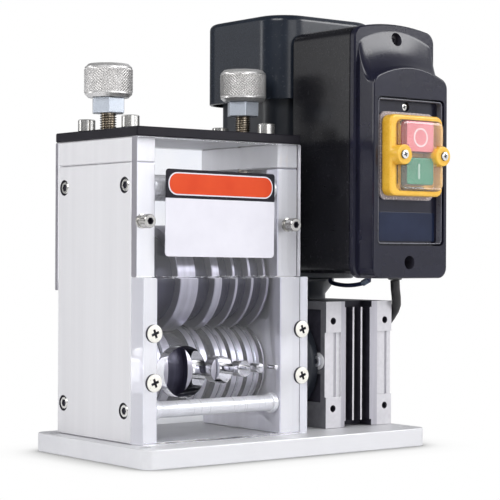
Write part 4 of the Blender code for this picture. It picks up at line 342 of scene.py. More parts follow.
def lathe(name, profile, place, axis, steps, *materials, closed=False, ribs=(), depth=0.0,
        angle=38):
    """Turn a profile of (radius, height) about an axis through place.

    The rows listed in ribs are set in by depth at every other step, as a fine knurl."""
    shape = bmesh.new()
    spin = Matrix.Translation(place) @ facing(axis)
    rows = []
    for index, (radius, height) in enumerate(profile):
        if radius == 0:
            rows.append([shape.verts.new(spin @ Vector((0, 0, height)))])
            continue
        ring = []
        for step in range(steps):
            turn = 2 * pi * step / steps
            reach = radius - (depth if index in ribs and step % 2 else 0.0)
            spot = Vector((reach * cos(turn), reach * sin(turn), height))
            ring.append(shape.verts.new(spin @ spot))
        rows.append(ring)
    pairs = list(zip(rows, rows[1:]))
    if closed:
        pairs.append((rows[-1], rows[0]))
    for first, second in pairs:
        for step in range(steps):
            after = (step + 1) % steps
            if len(first) == 1 and len(second) == 1:
                continue
            if len(first) == 1:
                shape.faces.new((first[0], second[step], second[after]))
            elif len(second) == 1:
                shape.faces.new((first[step], first[after], second[0]))
            else:
                shape.faces.new((first[step], first[after], second[after], second[step]))
    return add_mesh(name, shape, *materials, angle=angle)


def rounded_outline(corners, steps=8):
    """Points of an outline from (x, y, radius) corners given anticlockwise."""
    points = []
    count = len(corners)
    for index, (x, y, radius) in enumerate(corners):
        here = Vector((x, y))
        if radius == 0:
            points.append(here)
            continue
        before = (Vector(corners[index - 1][:2]) - here).normalized()
        after = (Vector(corners[(index + 1) % count][:2]) - here).normalized()
        half = before.angle(after) / 2
        reach = radius / tan(half)
        center = here + (before + after).normalized() * (radius / sin(half))
        first = here + before * reach - center
        last = here + after * reach - center
        start = atan2(first.y, first.x)
        sweep = (atan2(last.y, last.x) - start) % (2 * pi)
        for step in range(steps + 1):
            turn = start + sweep * step / steps
            points.append(center + radius * Vector((cos(turn), sin(turn))))
    return points


def rectangle(x, y, width, height, radius, steps=8):
    half_w = width / 2
    half_h = height / 2
    return rounded_outline([
        (x - half_w, y - half_h, radius), (x + half_w, y - half_h, radius),
        (x + half_w, y + half_h, radius), (x - half_w, y + half_h, radius),
    ], steps)


def circle(x, y, radius, steps=32):
    turns = [2 * pi * i / steps for i in range(steps)]
    return [Vector((x + radius * cos(turn), y + radius * sin(turn))) for turn in turns]


PLANES = {
    "XY": Matrix(((1, 0, 0), (0, 1, 0), (0, 0, 1))),
    "XZ": Matrix(((1, 0, 0), (0, 0, 1), (0, 1, 0))),
    "YZ": Matrix(((0, 0, 1), (1, 0, 0), (0, 1, 0))),
}


def prism(name, outline, low, high, plane, *materials, edge=0.0, segments=2, angle=40):
    """Give a flat outline a thickness from low to high across its plane."""
    shape = bmesh.new()
    turn = PLANES[plane]
    bottom = [shape.verts.new(turn @ Vector((x, y, low))) for x, y in outline]
    top = [shape.verts.new(turn @ Vector((x, y, high))) for x, y in outline]
    shape.faces.new(bottom)
    shape.faces.new(reversed(top))
    for i in range(len(outline)):
        j = (i + 1) % len(outline)
        shape.faces.new((bottom[i], top[i], top[j], bottom[j]))
    obj = add_mesh(name, shape, *materials, angle=angle)
    if edge:
        bevel(obj, edge, segments, angle)
    return obj


def box(name, low, high, *materials, edge=0.0, segments=2):
    outline = [(low[0], low[1]), (high[0], low[1]), (high[0], high[1]), (low[0], high[1])]
    return prism(name, outline, low[2], high[2], "XY", *materials, edge=edge, segments=segments)


def loft(name, sections, *materials, plane="XZ", angle=38):
    """Skin a row of outlines with equal point counts. Each section is (points, depth)."""
    shape = bmesh.new()
    turn = PLANES[plane]
    rings = [[shape.verts.new(turn @ Vector((x, y, depth))) for x, y in outline] for outline, depth
        in sections]
    for first, second in zip(rings, rings[1:]):
        for i in range(len(first)):
            j = (i + 1) % len(first)
            shape.faces.new((first[i], first[j], second[j], second[i]))
    shape.faces.new(rings[0])
    shape.faces.new(reversed(rings[-1]))
    return add_mesh(name, shape, *materials, angle=angle)


def rod(name, start, end, radius, steps, *materials):
    start = Vector(start)
    end = Vector(end)
    profile = [(0, (end - start).length), (radius, (end - start).length), (radius, 0), (0, 0)]
    return lathe(name, profile, start, end - start, steps, *materials)


def smooth_route(route, spacing):
    """Even points along a smooth curve through given points in millimetres."""
    knots = [Vector(point) for point in route]
    padded = [2 * knots[0] - knots[1]] + knots + [2 * knots[-1] - knots[-2]]
    fine = []
    for k in range(1, len(padded) - 2):
        a, b, c, d = padded[k - 1:k + 3]
        for step in range(12):
            t = step / 12
            fine.append(0.5 * (
                2 * b + (c - a) * t + (2 * a - 5 * b + 4 * c - d) * t * t
                + (3 * b - a - 3 * c + d) * t ** 3
            ))
    fine.append(knots[-1])
    total = sum((q - p).length for p, q in zip(fine, fine[1:]))
    count = max(3, round(total / spacing))
    points = [fine[0]]
    travelled = 0.0
    for p, q in zip(fine, fine[1:]):
        length = (q - p).length
        while len(points) < count and travelled + length >= total * len(points) / count:
            points.append(p.lerp(q, (total * len(points) / count - travelled) / length))
        travelled += length
    points.append(fine[-1])
    return points


def curve_tube(name, points, radius, material):
    """A round cord along points in millimetres, as a curve of one open spline."""
    curve = bpy.data.curves.new(name, "CURVE")
    curve.dimensions = "3D"
    curve.bevel_depth = radius * MM
    curve.bevel_resolution = 5
    curve.use_fill_caps = True
    spline = curve.splines.new("POLY")
    spline.points.add(len(points) - 1)
    for point, place in zip(spline.points, points):
        point.co = (*(Vector(place) * MM), 1)
    spline.use_smooth = True
    curve.materials.append(material)
    obj = bpy.data.objects.new(name, curve)
    SCENE.collection.objects.link(obj)
    return obj


def put(obj, slot, *nodes, body="frame"):
    """Let a piece ride with its body, in place of the nodes it stands for. Its slot is not used."""
    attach(obj, body)
    if nodes:
        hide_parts(*nodes)
    return obj


def node_box(node):
    low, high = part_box(node)
    return low / MM, high / MM


def paint_node(node, *materials):
    """Give a CAD piece its finish."""
    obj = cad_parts[node]
    obj.data.materials.clear()
    for material in materials:
        obj.data.materials.append(material)
    for face in obj.data.polygons:
        face.material_index = 0
    return obj


# Small parts made once for every place

def pan_screw(name, place, axis, radius, height, material, recess=0.3):
    """A broad flat-topped head with a cross recess; its side, set under the face, and the recess
    take near-black painted shade.
    """
    dome = [(radius * (0.8 + 0.2 * cos(a)), height * (0.7 + 0.3 * sin(a))) for a in
        (pi / 2 * i / 6 for i in range(6))]
    profile = [(0, height)] + dome[::-1] + [(radius, 0), (0, 0)]
    head = lathe(name, profile, (0, 0, 0), UPWARD, 40, material, HOLLOW_SHADE)
    arm = radius * 0.5
    thick = radius * recess / 2
    for low, high in (((-arm, -thick), (arm, thick)), ((-thick, -arm), (thick, arm))):
        cut_box(head, (*low, height * 0.25), (*high, height * 2), HOLLOW_SHADE)
    # The side faces take the near-black painted shade.
    for face in head.data.polygons:
        flat = Vector((face.center.x, face.center.y)).length
        if flat > radius * 0.97 * MM and abs(face.normal.z) < 0.5:
            face.material_index = 1
    head.data.transform(Matrix.Translation(Vector(place) * MM) @ facing(axis) @
        Matrix.Rotation(radians(20), 4, "Z"))
    shade(head)
    return head


def socket_screw(name, place, axis, radius, height, socket, material, knurl=True):
    """A cap head with a fine knurl and a hex socket."""
    depth = 0.045 * radius if knurl else 0.0
    edge = 0.1 * radius
    profile = [(0, height), (radius - edge, height), (radius, height - edge), (radius, edge),
        (radius - edge, 0), (0, 0)]
    head = lathe(name, profile, (0, 0, 0), UPWARD, 56, material, ribs=(2, 3), depth=depth, angle=30)
    # The socket's walls and floor are painted near-black as shade.
    cut(head, circle(0, 0, socket, 6), height * 0.4, height * 2, "XY", HOLLOW_SHADE)
    head.data.transform(Matrix.Translation(Vector(place) * MM) @ facing(axis))
    shade(head, 30)
    return head


SUNK_BORE = 5.9
SUNK_DEPTH = 2.4


def sunk_screw(name, place, axis):
    """A cap head sunk in its counterbore, whose wall and floor are a near-black sleeve of painted
    shade.
    """
    wall = SUNK_BORE - 0.05
    rows = [(0, -SUNK_DEPTH + 0.1), (wall, -SUNK_DEPTH + 0.1), (wall, -0.15), (wall - 0.3, -0.15),
        (wall - 0.3, -SUNK_DEPTH + 0.5), (0, -SUNK_DEPTH + 0.5)]
    # The sleeve is a dark piece put where the counterbore's shade falls.
    seat = lathe(f"{name}_seat", rows[::-1], place, axis, 48, HOLLOW_SHADE)
    put(seat, "black_paint")
    head = socket_screw(name, Vector(place) - Vector(axis) * SUNK_DEPTH, axis, 4.6, 2.0, 2.9,
        BRIGHT_NICKEL, knurl=False)
    put(head, "bright_nickel")


# Power cord and plug

CORD_RADIUS = 3.75
CORD_ROUTE = (
    (127.0, -43.5, 128.6), (127.2, -43.5, 123.8), (128.2, -43.1, 118.8), (129.9, -42.1, 114.0),
    (132.0, -40.0, 109.3), (133.6, -36.2, 104.6), (135.0, -30.4, 99.4), (136.3, -21.4, 91.6),
    (138.2, -8.0, 79.0), (139.8, 7.0, 62.0), (141.4, 21.0, 44.0), (143.6, 36.0, 26.0),
    (147.8, 53.0, 12.0), (154.0, 70.5, 5.2), (161.4, 87.0, 3.9), (165.9, 97.6, 3.8),
    (167.4, 104.6, 3.8),
)
COIL_X, COIL_Y = 127.0, 130.0
COIL_RADIUS = 40.5
COIL_TURNS = 5
PLUG_TIP = Vector((160.0, 120.0, 49.1))
PLUG_RELIEF = 16.0
PLUG_LENGTH = 34.0


def smooth_step(value):
    value = max(0.0, min(1.0, value))
    return value * value * (3 - 2 * value)


def coil_points():
    """Five turns, each a cord higher, and the last one rising to the plug's relief."""
    floor_z = CORD_RADIUS + 0.05
    pitch = 2 * CORD_RADIUS
    last = COIL_RADIUS - 10.5
    center = Vector((PLUG_TIP.x - last, PLUG_TIP.y))
    leave = atan2(center.y - COIL_Y, center.x - COIL_X) % (2 * pi)
    start = radians(200)
    points = []
    for step in range(30 * COIL_TURNS):
        turn = step // 30
        angle = 2 * pi * (step % 30) / 30
        if turn == COIL_TURNS - 1 and angle > start:
            break
        rise = smooth_step((angle - start) / radians(120)) if turn < COIL_TURNS - 1 else 0.0
        points.append((COIL_X + COIL_RADIUS * cos(angle), COIL_Y + COIL_RADIUS * sin(angle), floor_z
            + pitch * (turn + rise)))
    top = floor_z + pitch * (COIL_TURNS - 1)
    first_leg = COIL_RADIUS * (leave - start)
    whole = first_leg + last * (2 * pi - leave)
    for step in range(1, 17):
        along = whole * step / 16
        height = top + (PLUG_TIP.z - top) * smooth_step(along / whole)
        if along < first_leg:
            angle = start + along / COIL_RADIUS
            points.append((COIL_X + COIL_RADIUS * cos(angle), COIL_Y + COIL_RADIUS * sin(angle),
                height))
        else:
            angle = leave + (along - first_leg) / last
            points.append((center.x + last * cos(angle), center.y + last * sin(angle), height))
    return points


def power_cord():
    points = [tuple(p) for p in smooth_route(CORD_ROUTE, 7.0)]
    points += [(167.5, 113.0, CORD_RADIUS + 0.05), (167.5, 121.5, CORD_RADIUS + 0.05)]
    points += coil_points()
    points.append(tuple(PLUG_TIP + Vector((0, 2.5, 0))))
    length = sum((Vector(q) - Vector(p)).length for p, q in zip(points, points[1:]))
    cord = curve_tube("power_cord_run", points, CORD_RADIUS, RUBBER)
    put(cord, "black_rubber", "power_cord", "cord_coil")
    return cord, length * MM


def power_plug():
    """A moulded three-pin plug with a ribbed relief."""
    x, tip, z = PLUG_TIP
    tail = tip + PLUG_RELIEF
    face = tail + PLUG_LENGTH
    outline = rounded_outline([
        (x - 6.25, tail, 3), (x + 6.25, tail, 3), (x + 12.5, tail + 12, 6),
        (x + 12.5, face, 3), (x - 12.5, face, 3), (x - 12.5, tail + 12, 6),
    ])
    body = prism("plug_body", outline, z - 11, z + 11, "XY", RUBBER, edge=2.2, segments=4)
    for index in range(4):
        y = tail + 14 + 3.2 * index
        for side in (-1, 1):
            low, high = sorted((x + side * 11.7, x + side * 14))
            cut_box(body, (low, y, z - 7), (high, y + 1.4, z + 7), RUBBER)
    shade(body)
    put(body, "black_rubber", "power_plug")
    rows = [(0, 1.0), (7.4, 1.0)]
    for index in range(5):
        low = -1.0 - 3.0 * index
        wide = 7.2 - 0.5 * index
        rows += [(wide, low), (wide, low - 1.7), (wide - 1.1, low - 1.9), (wide - 1.1, low - 2.8)]
    rows += [(4.6, -PLUG_RELIEF), (0, -PLUG_RELIEF)]
    relief = lathe("plug_relief", rows, (x, tail, z), (0, 1, 0), 32, RUBBER)
    put(relief, "black_rubber")
    pins = []
    for side in (-1, 1):
        pin_x = x + side * 6.35
        pins.append(box(f"plug_blade_{side + 2}", (pin_x - 0.75, face - 1, z + 1),
            (pin_x + 0.75, face + 17, z + 7.3), BRIGHT_NICKEL, edge=0.3))
    pins.append(rod("plug_ground", (x, face - 1, z - 6), (x, face + 17, z - 6), 2.4, 24,
        BRIGHT_NICKEL))
    bevel(pins[-1], 0.8, 3)
    for pin in pins:
        put(pin, "bright_nickel")
    return [body, relief, *pins]


def cable_gland():
    rows = [(3.9, 14), (5.0, 14), (5.0, 0.3), (6.5, -0.3), (6.4, -1.4), (5.9, -1.6), (6.1, -2.6),
        (5.5, -2.8), (5.6, -3.7), (5.0, -4.5), (3.9, -4.5)]
    gland = lathe("gland_relief", rows, (127.0, -43.5, 133.4), UPWARD, 40, RUBBER, closed=True)
    return put(gland, "black_rubber", "cable_gland")


# Base and head

def base_plate():
    plate = prism("base_slab", rectangle(0, 0, 265, 150, 8, 12), 0, 14, "XY", BASE_METAL, edge=1.0,
        segments=3)
    for x in (-123.5, 123.5):
        for y in (-59, 59):
            boolean(plate, rod("hole", (x, y, -3), (x, y, 20), 4.5, 48, BASE_METAL))
    settle(plate)
    return put(plate, "bright_aluminium", "base_plate")


def settle(obj, angle=38):
    """Sharpen the edges again after a cut, with even normals on the flats."""
    shade(obj, angle)
    even_normals(obj)


def even_normals(obj):
    step = obj.modifiers.new("even", "WEIGHTED_NORMAL")
    step.keep_sharp = True
    apply_modifiers(obj)


def dressed(name, node, body, slot, material, edge=0.4, segments=2):
    """A CAD piece's own shape with its edges broken."""
    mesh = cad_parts[node].data.copy()
    mesh.materials.clear()
    mesh.materials.append(material)
    for face in mesh.polygons:
        face.material_index = 0
    obj = bpy.data.objects.new(name, mesh)
    SCENE.collection.objects.link(obj)
    bevel(obj, edge, segments, 40)
    return put(obj, slot, node, body=body)


TIE_RODS = (("front_upper", -30.1, 197.5, 8, 8), ("rear_upper", 50.1, 197.5, 8, 8),
    ("front_lower", -30.1, 37.2, 6, 7.5), ("rear_lower", 50.1, 37.2, 6, 7.5))


def tie_rods():
    for row, y, z, radius, collar in TIE_RODS:
        low, high = node_box(f"{row}_tie_rod")
        y = (low.y + high.y) / 2
        half = (high.x - low.x) / 2
        profile = [(0, half), (collar - 0.4, half), (collar, half - 0.4)]
        if collar > radius:
            profile += [(collar, half - 3.6), (collar - 0.4, half - 4), (radius, half - 4),
                (radius, 4 - half), (collar - 0.4, 4 - half), (collar, 3.6 - half)]
        profile += [(collar, 0.4 - half), (collar - 0.4, -half), (0, -half)]
        bar = lathe(f"{row}_bar", profile, ((low.x + high.x) / 2, y, z), ALONG_X, 56, ROD_METAL)
        put(bar, "bright_nickel", f"{row}_tie_rod")
        for side, x in ((-1, -122.5), (1, 27.5)):
            sunk_screw(f"{row}_plate_screw_{side + 2}", (x, y, z), (side, 0, 0))


def edged(obj, material):
    """Give a clear sheet's narrow sides their light-gathering look."""
    obj.data.materials.append(material)
    sides = [min(v.co.x for v in obj.data.vertices), max(v.co.x for v in obj.data.vertices)]
    for face in obj.data.polygons:
        outer = min(abs(face.center.x - side) for side in sides) < 0.0004
        face.material_index = 1 if outer else 0


def clear_of_light(obj):
    obj.visible_shadow = False
    obj.visible_diffuse = False


CHANNELS = ((-39.0, 18.5), (-6.0, 10.0), (14.5, 6.0), (29.0, 3.5), (44.5, 1.6))
RIDGES = ((-21.5, 16.0), (4.7, 6.8), (21.6, 2.2), (36.4, 2.2), (51.0, 2.2))


def covers():
    low, high = node_box("front_guide_block")
    guide = box("guide_block_clear", low, high, ACRYLIC, edge=0.8, segments=3)
    for center, radius in CHANNELS:
        x = HEAD_X + center
        boolean(guide, rod("hole", (x, low.y - 2, 65), (x, high.y + 2, 65), radius, 96 if radius > 8
            else 48, ACRYLIC))
    settle(guide)
    edged(guide, GUIDE_EDGE)
    clear_of_light(guide)
    put(guide, "clear_acrylic", "front_guide_block")
    for name, node in (("upper_cover_clear", "upper_front_cover"),
            ("rear_cover_clear", "rear_cover")):
        low, high = node_box(node)
        sheet = box(name, low, high, ACRYLIC, edge=0.6, segments=3)
        edged(sheet, ACRYLIC_EDGE)
        clear_of_light(sheet)
        put(sheet, "clear_acrylic", node)


# Rollers and blades

def stepped_profile(steps_along, base, half, bore, edge=0.5):
    outer = [(bore, half), (base - edge, half), (base, half - edge)]
    for center, width, radius in sorted(steps_along, reverse=True):
        high = center + width / 2
        low = center - width / 2
        rim = edge if radius > base else -edge
        if radius > base:
            outer += [(base, high), (radius - edge, high), (radius, high - edge),
                (radius, low + edge), (radius - edge, low), (base, low)]
        else:
            outer += [(base, high - rim * 0.4), (base + rim * 0.4, high), (radius, high),
                (radius, low), (base + rim * 0.4, low), (base, low + rim * 0.4)]
    outer += [(base, edge - half), (base - edge, -half), (bore, -half)]
    return outer


def shade_below_radius(obj, axis_z, above):
    """The surfaces out past a radius take the plain steel; the rest take the near-black steel,
    painted shade and dark reflection in the grooves.
    """
    for face in obj.data.polygons:
        reach = Vector((face.center.y - AXIS_Y * MM, face.center.z - axis_z * MM)).length
        face.material_index = 1 if reach > above * MM else 0


def rollers():
    ridges = [(center, width, 39.4) for center, width in RIDGES]
    upper = lathe("upper_feed_roller", stepped_profile(ridges, 32.6, 54, 12.4, 0.3),
        (HEAD_X, AXIS_Y, UPPER_Z), ALONG_X, 144, DARK_STEEL_AND_SHADE, ROLLER_BRIGHT, closed=True)
    shade_below_radius(upper, UPPER_Z, 33.4)
    put(upper, "ground_steel", "upper_roller", body="upper_roller_body")
    slots = [(center, width + 1.6, 26.4) for center, width in RIDGES]
    seats = [(center, 2.2, 28.0) for center, _ in CHANNELS]
    lower = lathe("lower_feed_roller", stepped_profile(slots + seats, 32, 54, 12.4, 0.3),
        (HEAD_X, AXIS_Y, LOWER_Z), ALONG_X, 144, DARK_STEEL_AND_SHADE, ROLLER_BRIGHT, closed=True)
    shade_below_radius(lower, LOWER_Z, 31.4)
    put(lower, "ground_steel", "lower_roller", body="lower_roller_body")
    for number, (center, _) in enumerate(CHANNELS, 1):
        profile = [(28.2, 0.8), (31.5, 0.8), (33.9, 0.08), (34.0, 0.0), (33.9, -0.08), (31.5, -0.8),
            (28.2, -0.8)]
        blade = lathe(f"ground_blade_{number}", profile, (HEAD_X + center, AXIS_Y, LOWER_Z),
            ALONG_X, 144, BLADE_METAL, closed=True)
        put(blade, "blade_steel", f"slitting_blade_{number}", body="lower_roller_body")
    for name, node, body, z in (("upper_arbor", "upper_shaft", "upper_roller_body", UPPER_Z),
            ("lower_arbor", "lower_shaft", "lower_roller_body", LOWER_Z)):
        low, high = node_box(node)
        arbor = rod(name, (low.x, AXIS_Y, z), (high.x, AXIS_Y, z), 12.2, 64, ROD_METAL)
        bevel(arbor, 0.5, 2)
        put(arbor, "ground_steel", node, body=body)


# Adjusters

def knurled_knob(name, x, z):
    """Pyramid diamonds between two polished rims."""
    columns, rows = 84, 15
    low, high = 4.0, 20.4
    root, crest = 16.95, 18.0
    shape = bmesh.new()
    rings = []
    for rim_radius, height in ((6.3, 0), (14.9, 0), (17.4, 2.4), (17.4, 3.6)):
        rings.append(("plain", rim_radius, height))
    for row in range(rows + 1):
        rings.append(("knurl", row, low + (high - low) * row / rows))
    for rim_radius, height in ((17.4, 20.8), (17.4, 22.0), (14.9, 24.4), (0, 24.4)):
        rings.append(("plain", rim_radius, height))
    made = []
    for kind, value, height in rings:
        if kind == "plain" and value == 0:
            made.append([shape.verts.new((x, AXIS_Y, z + height))])
            continue
        ring = []
        for column in range(columns):
            if kind == "plain":
                radius = value
            else:
                radius = crest if (value + column) % 2 == 0 else root
            turn = 2 * pi * column / columns
            ring.append(shape.verts.new((x + radius * cos(turn), AXIS_Y + radius * sin(turn), z +
                height)))
        made.append(ring)
    for index, (first, second) in enumerate(zip(made, made[1:])):
        both = rings[index][0] == rings[index + 1][0] == "knurl"
        for column in range(columns):
            after = (column + 1) % columns
            if len(second) == 1:
                shape.faces.new((first[column], first[after], second[0]))
            elif not both:
                shape.faces.new((first[column], first[after], second[after], second[column]))
            elif (rings[index][1] + column) % 2 == 0:
                shape.faces.new((first[column], first[after], second[column]))
                shape.faces.new((first[after], second[after], second[column]))
            else:
                shape.faces.new((first[column], first[after], second[after]))
                shape.faces.new((first[column], second[after], second[column]))
    return add_mesh(name, shape, KNURL_NICKEL, angle=20)


def threaded_rod(name, x, low, high, radius, pitch):
    """A screw whose thread climbs, cut by sliding a four-row profile up one pitch a turn."""
    steps = 40
    root = radius - 0.6 * pitch
    profile = ((0.0, root), (0.3, root), (0.5, radius), (0.8, radius))
    shape = bmesh.new()
    turns = int((high - low) / pitch) + 2
    rows = []
    for turn_row in range(-1, turns):
        for part, reach in profile:
            ring = []
            for step in range(steps + 1):
                turn = 2 * pi * step / steps
                height = low + pitch * (turn_row + part + step / steps)
                height = max(low, min(high, height))
                spot = (x + reach * cos(turn), AXIS_Y + reach * sin(turn), height)
                ring.append(shape.verts.new(spot))
            rows.append(ring)
    for first, second in zip(rows, rows[1:]):
        for step in range(steps):
            shape.faces.new((first[step], first[step + 1], second[step + 1], second[step]))
    bmesh.ops.remove_doubles(shape, verts=shape.verts, dist=1e-5)
    bmesh.ops.dissolve_degenerate(shape, dist=1e-6, edges=shape.edges)
    for height in (low, high):
        hub = shape.verts.new((x, AXIS_Y, height))
        rim = [shape.verts.new((x + root * cos(2 * pi * step / steps), AXIS_Y + root *
            sin(2 * pi * step / steps), height)) for step in range(steps)]
        for step in range(steps):
            shape.faces.new((rim[step], rim[(step + 1) % steps], hub))
    return add_mesh(name, shape, SCREW_BRONZE, angle=25)


def adjusters():
    for side, x in KNOB_X.items():
        body = f"{side}_adjuster"
        low, high = node_box(f"{side}_knob")
        knob = knurled_knob(f"{side}_knurled_knob", x, low.z)
        put(knob, "bright_nickel", f"{side}_knob", body=body)
        low, high = node_box(f"{side}_lock_nut")
        nut = prism(f"{side}_hex_nut", circle(x, AXIS_Y, 22.5 / sqrt(3), 6), low.z, high.z, "XY",
            NUT_NICKEL, edge=0.6, segments=3)
        put(nut, "bright_nickel", f"{side}_lock_nut", body=body)
        low, high = node_box(f"{side}_adjusting_screw")
        screw = threaded_rod(f"{side}_threaded_screw", x, low.z, high.z, 6.0, 1.75)
        put(screw, "bright_nickel", f"{side}_adjusting_screw", body=body)


def cap_screws():
    for side, x in KNOB_X.items():
        for row, y in (("front", -19.0), ("rear", 39.0)):
            node = f"{side}_{row}_cap_screw"
            low, high = node_box(node)
            head = socket_screw(f"{side}_{row}_cap_head", (x, y, high.z - 9.2), UPWARD, 6.5, 9.2,
                3.46, BRIGHT_NICKEL, knurl=False)
            put(head, "bright_nickel", node)
            shank = rod(f"{side}_{row}_cap_shank", (x, y, low.z), (x, y, high.z - 9.2), 4, 24,
                BRIGHT_NICKEL)
            put(shank, "bright_nickel")


# Gearbox and motor

GEAR_FRONT = -38.5
COVER_FRONT = -45.7


def gearbox_outline():
    """The case from above: pads, flanks and the two fins between them."""
    front = GEAR_FRONT
    floor = front + 14.5
    right = [(12.5, floor), (12.5, front + 1.6), (18.9, front), (34.3, front), (34.3, 73.5)]
    left = [(-x, y) for x, y in reversed(right)]
    fins = []
    for middle in (-4.2, 4.2):
        fins += [(middle - 0.8, floor), (middle - 0.8, front + 2.2), (middle + 0.8, front + 2.2),
            (middle + 0.8, floor)]
    return [(DRIVE_X + x, y) for x, y in left + fins + right]


def gearbox():
    front = GEAR_FRONT
    body = prism("gearbox_case", gearbox_outline(), 14.3, 112.3, "XY", CAST_DARK, CAST_BRIGHT,
        CAST_SHADE, HOLLOW_SHADE)
    for side in (-1, 1):
        low_x, high_x = sorted((DRIVE_X + side * 18.9, DRIVE_X + side * 36))
        cut_box(body, (low_x, front - 2, 38.3), (high_x, front + 1.5, 88.3), CAST_BRIGHT)
        left = DRIVE_X - 34.3 if side < 0 else DRIVE_X + 18.9
        groove = rectangle(left + 10.2, front + 1.5, 2.4, 3.2, 1.1, 6)
        # The pad groove's walls take the darker painted-shade copy.
        cut(body, groove, 38.3, 88.3, "XY", CAST_SHADE)
        # The pad bolt holes are lined with near-black painted shade.
        for z in (29.4, 97.2):
            cut(body, circle(DRIVE_X + side * 27, z, 2.7, 32), front - 3, front + 9, "XZ", HOLLOW_SHADE)
    # The undercuts at the foot and the top take near-black painted shade.
    for low_z, high_z in ((14.0, 19.0), (107.6, 113.0)):
        cut_box(body, (DRIVE_X - 14, front - 2, low_z), (DRIVE_X + 14, front + 14.5, high_z),
            HOLLOW_SHADE)
    # The side pockets take near-black painted shade.
    for low_z, high_z in ((34.0, 56.0), (73.0, 106.0)):
        cut_box(body, (58, -32.0, low_z), (61.5, -2.0, high_z), HOLLOW_SHADE)
    body.data.materials.append(CAST_LIT_SIDE)
    names = [material.name for material in body.data.materials]
    bright, shade_slot, gap, side_slot = (names.index(m.name) for m in (
        CAST_BRIGHT, CAST_SHADE, HOLLOW_SHADE, CAST_LIT_SIDE))
    for face in body.data.polygons:
        across = face.center.x / MM - DRIVE_X
        inward = face.center.y / MM - front
        # The face toward -X takes the lighter copy of the dark paint: painted light.
        if face.normal.x < -0.9 and across < -34:
            face.material_index = side_slot
        if inward > 14.6 or abs(face.normal.z) > 0.7 and inward > 5:
            continue
        # Faces between the fins take the near-black painted shade; the slanted flanks take the
        # darker painted-shade copy.
        if face.normal.y < -0.3 and inward < 3 and face.material_index != gap:
            slanted = abs(face.normal.x) > 0.1 and 12 < abs(across) < 19
            face.material_index = shade_slot if slanted else bright
        elif abs(across) < 13 and inward > 1 and abs(face.normal.z) < 0.3:
            face.material_index = gap
    bevel(body, 0.35, 2, 40)
    put(body, "cast_aluminium", "gearbox_housing")
    washer = lathe("side_washer", [(0, 0.8), (6.2, 0.8), (6.4, 0.6), (6.4, 0), (0, 0)],
        (59.5, -30.0, 66.0), (-1, 0, 0), 40, ROD_METAL)
    put(washer, "bright_nickel")
    plug = socket_screw("side_plug", (58.7, -30.0, 66.0), (-1, 0, 0), 4.2, 2.4, 2.2, BLOCK_METAL)
    put(plug, "bright_nickel")
    rows = [(12.5, 7), (30.5, 7), (30.5, -0.3), (39.4, -0.3), (40, -0.9), (40, -7.0), (37.8, -9.3),
        (22.2, -9.3), (21.8, -9.7), (21.2, -13.8), (20.7, -14.3), (12.5, -14.3)]
    flange = lathe("output_cover", rows, (59.5, AXIS_Y, LOWER_Z), ALONG_X, 96, BLACK_PAINT,
        closed=True)
    put(flange, "black_paint", "output_flange")
    for index in range(6):
        turn = 2 * pi * (index + 0.5) / 6
        place = (50.4, AXIS_Y + 29 * cos(turn), LOWER_Z + 29 * sin(turn))
        bolt = socket_screw(f"output_bolt_{index + 1}", place, (-1, 0, 0), 4.2, 4.0, 2.3, TOP_PAINT,
            knurl=False)
        put(bolt, "black_paint")
    low, high = node_box("shaft_coupling")
    half = (high.x - low.x) / 2
    rows = [(12.4, half), (16.2, half), (17, half - 0.8), (17, 0.8 - half), (16.2, -half),
        (12.4, -half)]
    collar = lathe("coupling_collar", rows, ((low.x + high.x) / 2, AXIS_Y, LOWER_Z), ALONG_X, 72,
        BRIGHT_NICKEL, closed=True)
    middle = (low.x + high.x) / 2
    boolean(collar, rod("hole", (middle, AXIS_Y - 20, LOWER_Z), (middle, AXIS_Y - 14, LOWER_Z), 2.6,
        32, BRIGHT_NICKEL))
    shade(collar)
    put(collar, "bright_nickel", "shaft_coupling", body="lower_roller_body")
    screw = prism("coupling_set_screw", circle(middle, LOWER_Z, 2.4, 32), AXIS_Y - 16.4, AXIS_Y -
        13, "XZ", TOP_PAINT, edge=0.2)
    cut(screw, circle(middle, LOWER_Z, 1.4, 6), AXIS_Y - 20, AXIS_Y - 15, "XZ", TOP_PAINT)
    put(screw, "black_paint", body="lower_roller_body")
    low, high = node_box("gearbox_side_cover")
    rows = [(0, 3.3), (35, 3.3), (36, 2.3), (36, 0.3), (0, 0.3)]
    cover = lathe("side_cap", rows, (128.1, AXIS_Y, LOWER_Z), ALONG_X, 96, CAST_DARK)
    put(cover, "cast_aluminium", "gearbox_side_cover")


def square(width, radius, inset=0.0):
    return rectangle(DRIVE_X, MOTOR_Y, width - 2 * inset, width - 2 * inset, radius - inset, 14)


